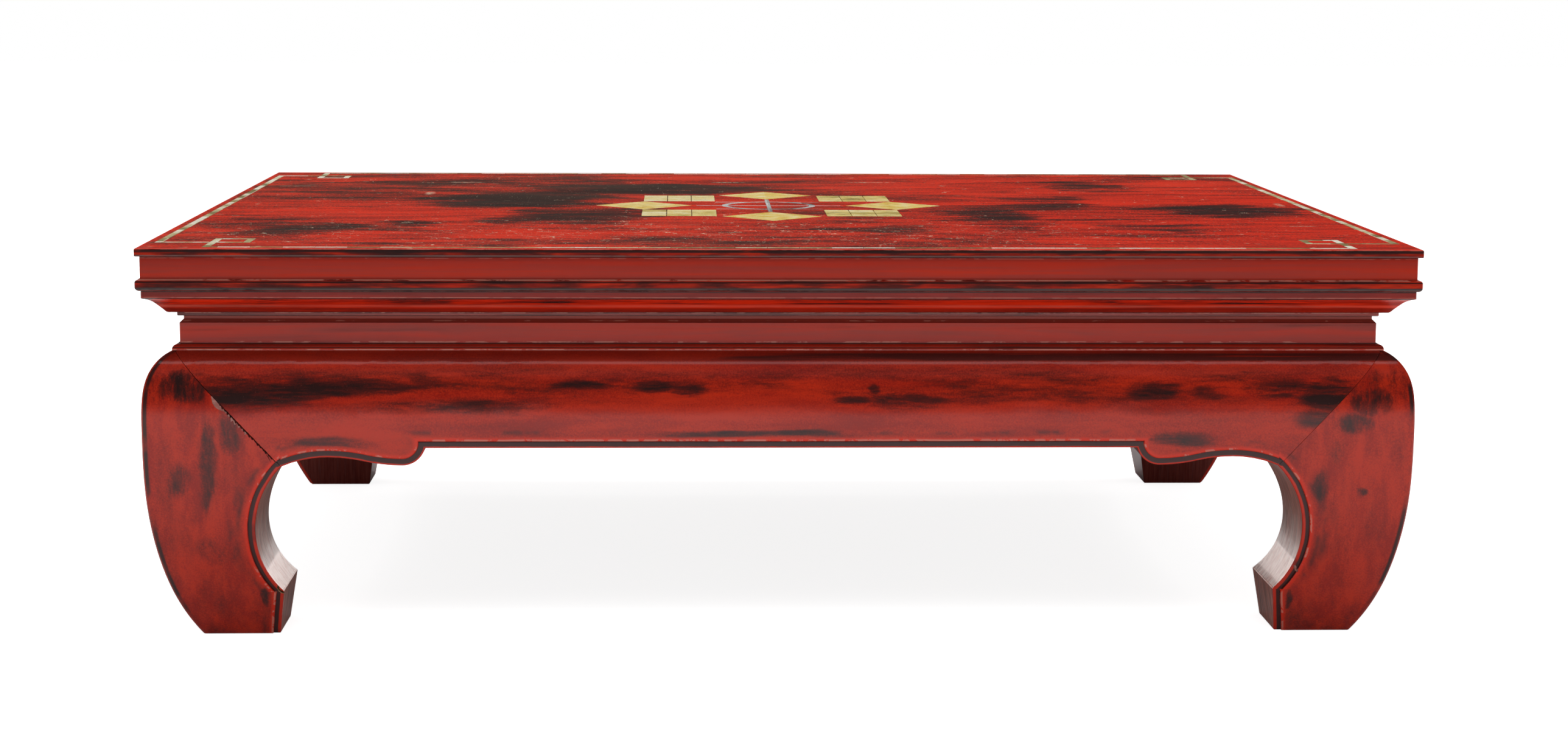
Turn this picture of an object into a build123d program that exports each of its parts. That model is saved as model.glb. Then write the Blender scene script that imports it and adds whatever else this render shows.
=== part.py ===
from build123d import *
import os
from dataclasses import dataclass

# Waisted kang table with bulging aprons, curved legs on hoof feet and an inlaid top.
# Millimetres, +Z up, +X along the table, +Y to the back, origin on the floor under its middle.
# "Inset" always means a distance inwards from the outermost edge of the top.

os.makedirs("parts", exist_ok=True)

# ---------------------------------------------------------------- driving dimensions
length = 960.0
depth = 780.0
height = 300.0
fit = 0.2  # clearance of every tongue, tenon and dovetail in its housing
mitre_gap = 0.25  # open joint line between a leg and an apron

# Frame of the top, from its upper face down
rail_width = 80.0
top_band = 6.3
frieze_height = 17.2
lower_band = 8.6
frieze_recess = 3.4
arris_radius = 1.4
band_radius = 1.0
bull_nose = 2.1
lower_bull_nose = 3.2
frieze_cove = 1.2
rail_tenon_thickness = 12.0
rail_tenon_width = 24.0
rail_tenon_inset = 14.0
rail_tenon_wall = 12.0

# Panel and its battens
panel_thickness = 14.0
board_count = 3
tongue_thickness = 5.0
tongue_length = 8.0
tongue_drop = 5.0
batten_count = 3
batten_width = 32.0
batten_height = 22.0
batten_spacing = 250.0
dovetail_height = 4.0
dovetail_root = 18.0
dovetail_crest = 24.0
batten_tenon_width = 20.0
batten_tenon_thickness = 9.0
batten_tenon_length = 14.0

# Cornice, waist and bead between the top and the stand
cornice_height = 21.2
cornice_inset = 3.7
cornice_fillet = 5.7
cornice_lip_inset = 26.3
cornice_lip = 3.1
cornice_edge_radius = 0.7
ogee_points = ((0.30, 0.22), (0.47, 0.50), (0.64, 0.82), (0.84, 1.0))  # shares of its run and its drop
ogee_start = (1, -0.25)
ogee_end = (1, 0)
waist_height = 21.2
waist_inset = 27.7
waist_neck_inset = 30.5
waist_neck_height = 2.5
waist_bevel_height = 2.7
waist_tongue = 5.0
waist_tongue_height = 5.0
bead_height = 4.5
bead_inset = 22.4
bead_radius = 3.6

# Stand: outline of the legs and aprons seen from the end
shoulder_inset = 22.6
belly_inset = 1.5
foot_inset = 38.5
stand_back = 38.0
shoulder_points = ((0.57, 6.0), (0.23, 16.5), (0.035, 34.0))  # share of the way out, drop from the head
belly_rise = 0.73  # share of the stand's height
calf_points = ((0.04, 0.516), (0.215, 0.317), (0.56, 0.133))  # share of the way in, share of the height

# Opening between the legs, measured from the side edge of the table
foot_width = 58.5
hoof_tip_inset = 102.5
hoof_tip_height = 36.5
leg_waist_inset = 83.6
apron_drop = 85.5
spandrel_inset = 104.5
arch_top_inset = 139.0
arch_top_rise = 7.1
cusp_low_inset = 195.0
cusp_low_rise = 0.8
cusp_inset = 212.0
apron_rise = 14.0
lip_width = 5.2
lip_depth = 2.2
lip_radius = 1.0
leg_arris = 3.0
foot_radius = 1.3
mitre_head = 2.0

# Post inside the aprons, its tenons, and the tongues and pegs that lock the aprons
post_inset = 80.0
leg_tenon_length = 18.0
leg_tenon_thickness = 12.0
leg_tenon_width = 16.0
leg_tenon_setback = 4.0
apron_tongue_inset = 16.0
apron_tongue_thickness = 12.0
apron_tongue_height = 30.0
apron_tongue_drop = 31.0
apron_tongue_depth = 44.0
peg_radius = 3.0
peg_fit = 0.05
peg_spacing = 14.0
apron_peg_setback = 9.0
peg_cover = 3.0

# Inlay
inlay_thickness = 1.2
inlay_fit = 0.1
strip_width = 5.7
segment_length = 24.0
segment_gap = 0.35
line_inset = 11.0
side_line_inset = 10.0
fret_bar_inset = 51.0
fret_head_inset = 75.0
fret_turn = 25.0
fret_return_inset = 48.0
diamond_diagonal = 84.0
motif_radius = 151.0
tile_size = 20.6
tiles_per_side = 3
tile_gap = 0.7
block_centre_x = 78.0
block_centre_y = 76.0
ring_radius = 41.0
ring_width = 5.5
ring_segments = 8
bar_width = 3.8
bar_spacing = 36.0

# ---------------------------------------------------------------- levels worked out from them
frieze_top = height - top_band
frieze_bottom = frieze_top - frieze_height
rail_bottom = frieze_bottom - lower_band
cornice_bottom = rail_bottom - cornice_height
waist_bottom = cornice_bottom - waist_height
stand_height = waist_bottom - bead_height
spandrel_height = stand_height - apron_drop
tongue_top = height - tongue_drop
tongue_bottom = tongue_top - tongue_thickness
panel_bottom = height - panel_thickness
batten_bottom = panel_bottom - batten_height
apron_edge = spandrel_height + apron_rise
tongue_face = stand_back - waist_tongue
block_size = tiles_per_side * tile_size + (tiles_per_side - 1) * tile_gap
batten_tenon_low = rail_bottom + 2 * fit
corner_peg_length = height - rail_bottom - 2 * peg_cover
corner_peg_inset = rail_tenon_wall + rail_tenon_width / 3
overrun = 20.0  # how far a cutting shape runs past what it cuts
near = 1.0  # how far an edge may lie from the place where it is looked for

half_length = length / 2
half_depth = depth / 2


@dataclass(frozen=True)
class Side:
    """One side of the table: its name, the length of its edge, and which way is inwards."""

    name: str
    run: float
    reach: float
    inward: Vector

    @property
    def along(self) -> Vector:
        return Vector(self.inward.Y, -self.inward.X, 0)

    @property
    def edge(self) -> Vector:
        return self.inward * -self.reach

    @property
    def section(self) -> Plane:
        """Upright plane across the side: x is the inset, y the height."""
        return Plane(origin=self.edge, x_dir=self.inward, z_dir=self.along)

    @property
    def face(self) -> Plane:
        """Upright plane of the side's outermost face, seen from outside."""
        return Plane(origin=self.edge, x_dir=self.along, z_dir=-self.inward)

    def corner(self, end: int, inset: float, along_inset: float, level: float) -> Vector:
        """A point near one end: inset from this side, along_inset from the neighbouring side."""
        run = self.along * end * (self.run / 2 - along_inset)
        return self.edge + run + self.inward * inset + Vector(0, 0, level)

    def corner_plane(self, end: int) -> Plane:
        """Upright 45 degree plane through the corner at one end, its upper side off the piece."""
        return Plane(origin=self.corner(end, 0, 0, 0), z_dir=self.along * end + self.inward)


front = Side("front", length, half_depth, Vector(0, 1, 0))
rear = Side("rear", length, half_depth, Vector(0, -1, 0))
left = Side("left", depth, half_length, Vector(1, 0, 0))
right = Side("right", depth, half_length, Vector(-1, 0, 0))
long_sides = (front, rear)
short_sides = (left, right)
sides = long_sides + short_sides


def hand_over(piece, name):
    """Names a finished piece and writes it to its own file."""
    piece.part.label = name
    export_step(piece.part, f"parts/{name}.step")


def block(low, high, mode=Mode.ADD):
    """A box between two opposite corners, given in the table's frame."""
    low, high = Vector(low), Vector(high)
    size = high - low
    with Locations((low + high) / 2):
        Box(abs(size.X), abs(size.Y), abs(size.Z), mode=mode)


def end_block(side, end, insets, along_insets, levels, mode=Mode.ADD):
    """A box near one end of a side, between pairs of insets and levels."""
    low = side.corner(end, insets[0], along_insets[0], levels[0])
    high = side.corner(end, insets[1], along_insets[1], levels[1])
    block(low, high, mode)


def grown(pair, amount):
    """A pair of limits moved apart by a clearance on both sides."""
    return pair[0] - amount, pair[1] + amount


def corner_at(shape, x, y):
    """The sketch vertex nearest to a place on the sketch plane's own axes."""
    return shape.vertices().sort_by(lambda v: (v.X - x) ** 2 + (v.Y - y) ** 2)[0]


def leg_tenon_insets():
    """Insets of a leg tenon across and along its rail, clear of the mitre between the rails."""
    across = (stand_back + leg_tenon_setback, stand_back + leg_tenon_setback + leg_tenon_thickness)
    along = (post_inset - leg_tenon_setback - leg_tenon_width, post_inset - leg_tenon_setback)
    return across, along


# ---------------------------------------------------------------- inlay pattern
def strip(start, end, width=strip_width):
    """A straight strip of inlay in the current sketch, its ends square past both points."""
    start, end = Vector(start), Vector(end)
    middle = (start + end) / 2
    size = end - start
    with Locations(middle):
        Rectangle(abs(size.X) + width, abs(size.Y) + width)


def place(side_x, side_y, inset_x, inset_y):
    """A point of the top near one corner, by its insets from the two edges."""
    return side_x * (half_length - inset_x), side_y * (half_depth - inset_y)


def fret_runs(side_x, side_y):
    """The straight runs of the fret at one corner, as pairs of points."""
    turn = fret_bar_inset + fret_turn
    foot = place(side_x, side_y, fret_bar_inset, line_inset)
    head = place(side_x, side_y, fret_bar_inset, fret_head_inset)
    far_head = place(side_x, side_y, turn, fret_head_inset)
    far_return = place(side_x, side_y, turn, fret_return_inset)
    cross = place(side_x, side_y, fret_bar_inset, fret_return_inset)
    edge = place(side_x, side_y, side_line_inset, fret_return_inset)
    return [(foot, head), (head, far_head), (far_head, far_return), (far_return, cross), (cross, edge)]


def fret_shape(side_x, side_y):
    """The whole fret of one corner as one flat shape."""
    with BuildSketch() as shape:
        for start, end in fret_runs(side_x, side_y):
            strip(start, end)
    return shape.sketch


def line_run(side):
    """Both ends of the border line along one side, just clear of the two frets."""
    inset = line_inset if side in long_sides else side_line_inset
    end_inset = fret_bar_inset if side in long_sides else fret_return_inset
    clear = side.along * (strip_width + segment_gap)
    return side.corner(-1, inset, end_inset, 0) + clear, side.corner(1, inset, end_inset, 0) - clear


def line_shape(side):
    """The border line along one side, between the two frets."""
    with BuildSketch() as shape:
        strip(*line_run(side))
    return shape.sketch


def diamond_shape(side_x, side_y):
    """One diamond of the centre motif, its outer tip on the motif's radius."""
    reach = motif_radius - diamond_diagonal / 2
    with BuildSketch() as shape:
        with Locations((side_x * reach, side_y * reach)):
            Rectangle(diamond_diagonal / 2**0.5, diamond_diagonal / 2**0.5, rotation=45)
    return shape.sketch


def tile_block_shape(side_x, side_y):
    """The outline of one block of square tiles."""
    with BuildSketch() as shape:
        with Locations((side_x * block_centre_x, side_y * block_centre_y)):
            Rectangle(block_size, block_size)
    return shape.sketch


def ring_shape(clearance=0.0):
    """The ring at the middle of the motif, made wider by a clearance on both edges."""
    with BuildSketch() as shape:
        Circle(ring_radius + clearance)
        Circle(ring_radius - ring_width - clearance, mode=Mode.SUBTRACT)
    return shape.sketch


def bars_shape(clearance=0.0):
    """The thin bars across the ring, to the diamonds and the tiles, drawn in by a clearance."""
    reach = motif_radius - diamond_diagonal - bar_width - clearance
    block_edge = block_centre_x - block_size / 2 - segment_gap - clearance
    thickness = bar_width - 2 * clearance
    with BuildSketch() as shape:
        Rectangle(thickness, 2 * reach)
        Rectangle(2 * reach, thickness)
        with Locations((0, bar_spacing), (0, -bar_spacing)):
            Rectangle(2 * block_edge, thickness)
        add(ring_shape(clearance), mode=Mode.SUBTRACT)
    return shape.sketch


def inlay_shapes():
    """Every flat inlay shape of the top, by the name of its piece."""
    shapes = {f"inlay_line_{side.name}": line_shape(side) for side in sides}
    for name_y, side_y in (("front", -1), ("rear", 1)):
        shapes[f"inlay_diamond_{name_y}"] = diamond_shape(0, side_y)
        for name_x, side_x in (("left", -1), ("right", 1)):
            shapes[f"inlay_fret_{name_y}_{name_x}"] = fret_shape(side_x, side_y)
            shapes[f"inlay_tiles_{name_y}_{name_x}"] = tile_block_shape(side_x, side_y)
    shapes["inlay_diamond_left"] = diamond_shape(-1, 0)
    shapes["inlay_diamond_right"] = diamond_shape(1, 0)
    shapes["inlay_ring"] = ring_shape()
    shapes["inlay_bars"] = bars_shape()
    return shapes


inlays = inlay_shapes()


def cut_inlay_pockets(piece):
    """Sinks the inlay's pockets into the upper face of a rail or board."""
    box = piece.part.bounding_box()
    for shape in inlays.values():
        area = shape.bounding_box()
        apart_x = area.min.X > box.max.X or area.max.X < box.min.X
        apart_y = area.min.Y > box.max.Y or area.max.Y < box.min.Y
        if apart_x or apart_y:
            continue
        with BuildSketch(Plane.XY.offset(height - inlay_thickness)) as pocket:
            add(shape)
        extrude(pocket.sketch, amount=inlay_thickness + overrun, mode=Mode.SUBTRACT)


# ---------------------------------------------------------------- frame of the top
def rail_outline():
    """Cross-section of a rail: two bands round a recessed frieze."""
    with BuildLine() as outline:
        Polyline(
            (0, height),
            (0, frieze_top),
            (frieze_recess, frieze_top),
            (frieze_recess, frieze_bottom),
            (0, frieze_bottom),
            (0, rail_bottom),
            (rail_width, rail_bottom),
            (rail_width, height),
            close=True,
        )
    return outline.edges()


def batten_places():
    """Distance of each batten from the table's middle."""
    return [(i - (batten_count - 1) / 2) * batten_spacing for i in range(batten_count)]


def rail_tenon_limits():
    """Along-inset, inset and level limits of the tenon that a short rail sends into a long rail."""
    along = (rail_tenon_inset, rail_tenon_inset + rail_tenon_width)
    middle = (rail_bottom + height) / 2
    levels = (middle - rail_tenon_thickness / 2, middle + rail_tenon_thickness / 2)
    return along, levels


def top_rail(side):
    """One mitred rail of the top frame with its joints cut."""
    with BuildPart() as rail:
        with BuildSketch(side.section) as section:
            make_face(rail_outline())
            fillet(corner_at(section, 0, height), arris_radius)
            fillet(corner_at(section, 0, frieze_top), band_radius)
            fillet(corner_at(section, frieze_recess, frieze_bottom), frieze_cove)
            fillet(corner_at(section, 0, frieze_bottom), bull_nose)
            fillet(corner_at(section, 0, rail_bottom), lower_bull_nose)
        extrude(amount=side.run / 2, both=True)
        for end in (-1, 1):
            split(bisect_by=side.corner_plane(end), keep=Keep.BOTTOM)
        groove_floor = rail_width - tongue_length - fit
        for end in (-1, 1):
            groove = (groove_floor, rail_width + overrun)
            levels = grown((tongue_bottom, tongue_top), fit)
            end_block(side, end, groove, (groove_floor, side.run / 2), levels, Mode.SUBTRACT)
        across, along = leg_tenon_insets()
        for end in (-1, 1):
            levels = (rail_bottom - overrun, rail_bottom + leg_tenon_length + fit)
            end_block(side, end, grown(across, fit), grown(along, fit), levels, Mode.SUBTRACT)
        tenon_along, tenon_levels = rail_tenon_limits()
        for end in (-1, 1):
            if side in short_sides:
                heel = rail_tenon_inset + rail_tenon_width + tongue_length
                end_block(side, end, tenon_along, (rail_tenon_wall, heel), tenon_levels)
            else:
                depth_limits = (rail_tenon_wall - fit, rail_tenon_inset + rail_tenon_width + overrun)
                along_limits = grown(tenon_along, fit)
                levels = grown(tenon_levels, fit)
                end_block(side, end, depth_limits, along_limits, levels, Mode.SUBTRACT)
        for end in (-1, 1):
            with Locations(corner_peg_place(side, end)):
                Cylinder(peg_radius + peg_fit, corner_peg_length + 2 * peg_fit, mode=Mode.SUBTRACT)
        if side in long_sides:
            for place_x in batten_places():
                left_x, right_x = grown((-batten_tenon_width / 2, batten_tenon_width / 2), fit)
                low_z, high_z = grown((batten_tenon_low, batten_tenon_low + batten_tenon_thickness), fit)
                mouth = side.inward.Y * -(side.reach - rail_width)
                floor = side.inward.Y * -(side.reach - rail_width + batten_tenon_length + fit)
                block((place_x + left_x, mouth, low_z), (place_x + right_x, floor, high_z), Mode.SUBTRACT)
        cut_inlay_pockets(rail)
    return rail


def corner_peg_place(side, end):
    """Middle of the corner peg at one end of a side, the same point for both sides of a corner."""
    level = rail_bottom + corner_peg_length / 2
    along = rail_tenon_inset + rail_tenon_width * 2 / 3
    if side in long_sides:
        return side.corner(end, corner_peg_inset, along, level)
    return side.corner(end, along, corner_peg_inset, level)


for side in sides:
    rail = top_rail(side)
    hand_over(rail, f"top_rail_{side.name}")

with BuildPart() as corner_pegs:
    for side in long_sides:
        for end in (-1, 1):
            with Locations(corner_peg_place(side, end)):
                Cylinder(peg_radius, corner_peg_length)
hand_over(corner_pegs, "corner_pegs")


# ---------------------------------------------------------------- panel and battens
panel_length = length - 2 * rail_width
panel_depth = depth - 2 * rail_width
board_width = panel_depth / board_count


def dovetail_outline(clearance):
    """Dovetail key on a batten, widening upwards, in the current sketch."""
    root = dovetail_root / 2 + clearance
    crest = dovetail_crest / 2 + clearance
    with BuildLine() as outline:
        Polyline(
            (-root, panel_bottom),
            (-crest, panel_bottom + dovetail_height + clearance),
            (crest, panel_bottom + dovetail_height + clearance),
            (root, panel_bottom),
            close=True,
        )
    return outline.edges()


def panel_board(number):
    """One board of the panel: tongued at its rear edge, grooved at its front edge."""
    board_front = -panel_depth / 2 + number * board_width
    board_rear = board_front + board_width
    outer = panel_length / 2
    first = number == 0
    last = number == board_count - 1
    with BuildPart() as board:
        block((-outer, board_front, panel_bottom), (outer, board_rear, height))
        tongue_front = board_front - tongue_length if first else board_front
        low = (-outer - tongue_length, tongue_front, tongue_bottom)
        high = (outer + tongue_length, board_rear + tongue_length, tongue_top)
        block(low, high)
        if not first:
            groove_low = (-length, board_front - overrun, tongue_bottom - fit)
            groove_high = (length, board_front + tongue_length + fit, tongue_top + fit)
            block(groove_low, groove_high, Mode.SUBTRACT)
        for place_x in batten_places():
            with BuildSketch(Plane.XZ.shift_origin((place_x, 0, 0))):
                make_face(dovetail_outline(fit))
            extrude(amount=depth, both=True, mode=Mode.SUBTRACT)
        cut_inlay_pockets(board)
    return board


board_names = ("front", "middle", "rear")
for number, board_name in enumerate(board_names):
    board = panel_board(number)
    hand_over(board, f"panel_board_{board_name}")


def batten(place_x):
    """A cross batten under the panel with a dovetail key and a tenon at each end."""
    half_run = panel_depth / 2
    with BuildPart() as piece:
        block(
            (place_x - batten_width / 2, -half_run, batten_bottom),
            (place_x + batten_width / 2, half_run, panel_bottom),
        )
        with BuildSketch(Plane.XZ.shift_origin((place_x, 0, 0))):
            make_face(dovetail_outline(0))
        extrude(amount=half_run, both=True)
        reach = half_run + batten_tenon_length
        block(
            (place_x - batten_tenon_width / 2, -reach, batten_tenon_low),
            (place_x + batten_tenon_width / 2, reach, batten_tenon_low + batten_tenon_thickness),
        )
    return piece


for batten_name, place_x in zip(("left", "middle", "right"), batten_places()):
    piece = batten(place_x)
    hand_over(piece, f"batten_{batten_name}")


# ---------------------------------------------------------------- cornice, waist and bead
def cornice_outline():
    """Cross-section of the cornice: a fillet, a cove turning into an ovolo, and a small lip."""
    fillet_foot = rail_bottom - cornice_fillet
    lip_top = cornice_bottom + cornice_lip
    run = cornice_lip_inset - cornice_inset
    drop = fillet_foot - lip_top
    with BuildLine() as outline:
        upper = Line((cornice_inset, rail_bottom), (cornice_inset, fillet_foot))
        ogee = Spline(
            upper @ 1,
            *[(cornice_inset + across * run, fillet_foot - down * drop) for across, down in ogee_points],
            tangents=(ogee_start, ogee_end),
        )
        Polyline(
            ogee @ 1,
            (cornice_lip_inset, lip_top),
            (cornice_lip_inset, cornice_bottom),
            (tongue_face, cornice_bottom),
            (tongue_face, cornice_bottom + waist_tongue_height),
            (stand_back, cornice_bottom + waist_tongue_height),
            (stand_back, rail_bottom),
            upper @ 0,
        )
    return outline.edges()


def waist_outline():
    """Cross-section of a waist board: bevelled head, narrow neck, tongues above and below."""
    neck_bottom = cornice_bottom - waist_neck_height
    tongue = tongue_face + fit
    with BuildLine() as outline:
        Polyline(
            (waist_inset, waist_bottom),
            (waist_inset, neck_bottom - waist_bevel_height),
            (waist_neck_inset, neck_bottom),
            (waist_neck_inset, cornice_bottom),
            (tongue, cornice_bottom),
            (tongue, cornice_bottom + waist_tongue_height - fit),
            (stand_back, cornice_bottom + waist_tongue_height - fit),
            (stand_back, stand_height - waist_tongue_height + fit),
            (tongue, stand_height - waist_tongue_height + fit),
            (tongue, waist_bottom),
            close=True,
        )
    return outline.edges()


def bead_outline():
    """Cross-section of the thin bead that lies on the apron in front of the waist's tongue."""
    with BuildLine() as outline:
        Polyline(
            (bead_inset, stand_height),
            (bead_inset, waist_bottom),
            (tongue_face, waist_bottom),
            (tongue_face, stand_height),
            close=True,
        )
    return outline.edges()


def mitred_strip(side, outline, rounded):
    """A moulding along one side, mitred at both corners, with some corners of its section rounded."""
    with BuildPart() as piece:
        with BuildSketch(side.section) as section:
            make_face(outline())
            for inset, level, radius in rounded:
                fillet(corner_at(section, inset, level), radius)
        extrude(amount=side.run / 2, both=True)
        for end in (-1, 1):
            split(bisect_by=side.corner_plane(end), keep=Keep.BOTTOM)
    return piece


cornice_rounds = [
    (cornice_inset, rail_bottom - cornice_fillet, cornice_edge_radius),
    (cornice_lip_inset, cornice_bottom, cornice_edge_radius),
]
waist_rounds = [(waist_inset, cornice_bottom - waist_neck_height - waist_bevel_height, cornice_edge_radius)]
bead_rounds = [(bead_inset, waist_bottom, bead_radius)]

for side in sides:
    cornice = mitred_strip(side, cornice_outline, cornice_rounds)
    hand_over(cornice, f"cornice_{side.name}")
    waist = mitred_strip(side, waist_outline, waist_rounds)
    hand_over(waist, f"waist_{side.name}")
    bead = mitred_strip(side, bead_outline, bead_rounds)
    hand_over(bead, f"bead_{side.name}")


# ---------------------------------------------------------------- outlines of the stand
def stand_curve(shift=0.0):
    """The curve of leg and apron seen from the end, from the shoulder to the foot."""
    shoulder = shoulder_inset - belly_inset
    foot = foot_inset - belly_inset
    belly = shift + belly_inset
    points = [(shift + shoulder_inset, stand_height)]
    points += [(belly + share * shoulder, stand_height - drop) for share, drop in shoulder_points]
    points += [(belly, belly_rise * stand_height)]
    points += [(belly + share * foot, rise * stand_height) for share, rise in calf_points]
    points += [(shift + foot_inset, 0)]
    return Spline(*points)


def opening_outline(run):
    """The opening between two legs: hoof, curve of the leg, arch, cusp and straight edge of the apron."""
    half = run / 2
    foot_inner = foot_inset + foot_width
    lean = (hoof_tip_inset - foot_inner) / hoof_tip_height
    leg_waist_height = (hoof_tip_height + spandrel_height) / 2
    arch_height = spandrel_height + arch_top_rise
    cusp_height = spandrel_height + cusp_low_rise
    with BuildLine() as outline:
        foot_line = Line(
            (foot_inner - lean * overrun - half, -overrun),
            (hoof_tip_inset - half, hoof_tip_height),
        )
        leg_arc = ThreePointArc(
            foot_line @ 1,
            (leg_waist_inset - half, leg_waist_height),
            (spandrel_inset - half, spandrel_height),
        )
        arch_top = (arch_top_inset - half, arch_height)
        cusp_low = (cusp_low_inset - half, cusp_height)
        sway = ((arch_top_inset + cusp_low_inset) / 2 - half, (arch_height + cusp_height) / 2)
        TangentArc(arch_top, leg_arc @ 1, tangent=(-1, 0))
        TangentArc(arch_top, sway, tangent=(1, 0))
        TangentArc(cusp_low, sway, tangent=(-1, 0))
        cusp = TangentArc(cusp_low, (cusp_inset - half, apron_edge), tangent=(1, 0))
        middle = Line(cusp @ 1, (0, apron_edge))
        mirror(outline.line, about=Plane.YZ)
        Line(foot_line @ 0, (-(foot_line @ 0).X, (foot_line @ 0).Y))
    return outline.edges()


def opening_face(run, margin=0.0):
    """The opening as a flat shape, made larger by a margin."""
    with BuildSketch() as shape:
        make_face(opening_outline(run))
        if margin:
            offset(amount=margin, kind=Kind.INTERSECTION)
    return shape.sketch


def mitre_head_inset():
    """Inset of the mitre line's upper end, at the head of the leg."""
    return shoulder_inset + mitre_head


def mitre_plane(side, end, gap):
    """Plane of the mitre between leg and apron; its upper side is the leg's, moved off by a gap."""
    head = side.corner(end, 0, mitre_head_inset(), stand_height)
    foot = side.corner(end, 0, spandrel_inset, spandrel_height)
    normal = (head - foot).cross(side.inward) * end
    normal = normal if normal.dot(side.along * end) > 0 else -normal
    plane = Plane(origin=foot, z_dir=normal)
    return plane.offset(-gap)


def lip_zone_outline():
    """Everything outside the face of the lip, seen from the end."""
    with BuildLine() as outline:
        curve = stand_curve(lip_depth)
        Polyline(curve @ 1, (lip_depth + foot_inset, -overrun), (-overrun, -overrun))
        Polyline((-overrun, -overrun), (-overrun, stand_height), curve @ 0)
    return outline.edges()


def cut_lip(side, lip_run):
    """Steps the edge round the opening back from the main face, over a stretch of the side."""
    with BuildPart(mode=Mode.PRIVATE) as step:
        with BuildSketch(side.section) as zone:
            make_face(lip_zone_outline())
        extrude(zone.sketch, amount=lip_run, both=True)
        with BuildSketch(side.face) as edge:
            add(opening_face(side.run, lip_width))
        extrude(edge.sketch, amount=-post_inset, both=True, mode=Mode.INTERSECT)
    add(step.part, mode=Mode.SUBTRACT)


def apron_tongue_limits():
    """Inset and level limits of the tongue at each end of an apron."""
    insets = (apron_tongue_inset, apron_tongue_inset + apron_tongue_thickness)
    top = stand_height - apron_tongue_drop
    return insets, (top - apron_tongue_height, top)


def stand_outline():
    """Region behind the curve of leg and apron, seen from the end."""
    far = spandrel_inset + overrun
    with BuildLine() as outline:
        curve = stand_curve()
        Polyline(curve @ 1, (far, 0), (far, stand_height), curve @ 0)
    return outline.edges()


def cut_opening(side):
    """Cuts the opening between the legs of one side out of the current piece."""
    with BuildSketch(side.face) as opening:
        add(opening_face(side.run))
    extrude(opening.sketch, amount=-2 * spandrel_inset, both=True, mode=Mode.SUBTRACT)


def extents(edge, side, end):
    """Bounding box of an edge as inset from a side, level, and inset from the neighbouring side."""
    box = side.section.to_local_coords(edge).bounding_box()
    runs = sorted((side.run / 2 - end * box.min.Z, side.run / 2 - end * box.max.Z))
    return (box.min.X, box.max.X), (box.min.Y, box.max.Y), runs


def rim_edges(piece, side, end):
    """The outer edges of the lip and of the main face along the leg's part of the opening."""

    def on_rim(edge):
        insets, _, along = extents(edge, side, end)
        shallow = insets[1] < foot_inset + lip_depth + near
        beside = along[0] > leg_waist_inset - lip_width - near and along[1] < spandrel_inset + near
        return shallow and beside and edge.length > 2 * lip_width

    return piece.edges().filter_by(on_rim).filter_by(Edge.is_interior, reverse=True)


def lower_edges(piece, side):
    """The outer edges of the lip and of the main face along an apron's lower edge."""

    def low_down(edge):
        insets, levels, _ = extents(edge, side, 1)
        below = levels[1] < apron_edge + lip_width + near
        return below and insets[1] < stand_back - near and edge.length > 2 * lip_width

    return piece.edges().filter_by(low_down).filter_by(Edge.is_interior, reverse=True)


def apron_peg_place(side, end, clear=0.0):
    """Middle and length of the peg that locks an apron's tongue; long and short sides pass apart."""
    tip = apron_tongue_inset - peg_cover
    step = peg_spacing / 2 if side in long_sides else -peg_spacing / 2
    level = stand_height - apron_tongue_drop - apron_tongue_height / 2 + step
    along = apron_tongue_depth + apron_peg_setback
    middle = side.corner(end, (tip + post_inset) / 2, along, level)
    return Plane(origin=middle, z_dir=side.inward), post_inset - tip + clear


def bore_for_peg(side, end):
    """Bores the hole of an apron's peg through the current piece."""
    plane, peg_run = apron_peg_place(side, end, 2 * peg_fit)
    with Locations(plane):
        Cylinder(peg_radius + peg_fit, peg_run, mode=Mode.SUBTRACT)


def apron(side):
    """One apron: bulging face, cusped and lipped lower edge, mitred and tongued ends."""
    rebate = stand_height - waist_tongue_height
    with BuildPart() as piece:
        with BuildSketch(side.section):
            make_face(stand_outline())
            with Locations((stand_back, 0)):
                Rectangle(length, stand_height, align=(Align.MIN, Align.MIN), mode=Mode.SUBTRACT)
            with Locations((tongue_face, rebate)):
                Rectangle(length, stand_height, align=(Align.MIN, Align.MIN), mode=Mode.SUBTRACT)
        extrude(amount=side.run / 2, both=True)
        cut_opening(side)
        cut_lip(side, side.run / 2)
        for end in (-1, 1):
            split(bisect_by=side.corner_plane(end), keep=Keep.BOTTOM)
            split(bisect_by=mitre_plane(side, end, mitre_gap), keep=Keep.BOTTOM)
        fillet(lower_edges(piece, side), lip_radius)
        insets, levels = apron_tongue_limits()
        for end in (-1, 1):
            end_block(side, end, insets, (apron_tongue_depth, spandrel_inset), levels)
            bore_for_peg(side, end)
    return piece


@dataclass(frozen=True)
class Corner:
    """One corner of the table: the two sides that meet there and the end of each that lies there."""

    name: str
    long_side: Side
    long_end: int
    short_side: Side
    short_end: int

    @property
    def ends(self):
        return ((self.long_side, self.long_end), (self.short_side, self.short_end))


corners = (
    Corner("front_left", front, -1, left, 1),
    Corner("front_right", front, 1, right, -1),
    Corner("rear_left", rear, 1, left, -1),
    Corner("rear_right", rear, -1, right, 1),
)


def outer_arris(piece, corner):
    """The curved outer edge of a leg, where its two outer faces meet."""
    outside = corner.long_side.corner(corner.long_end, 0, 0, stand_height / 2)
    return piece.edges().sort_by_distance(outside)[0]


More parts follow.
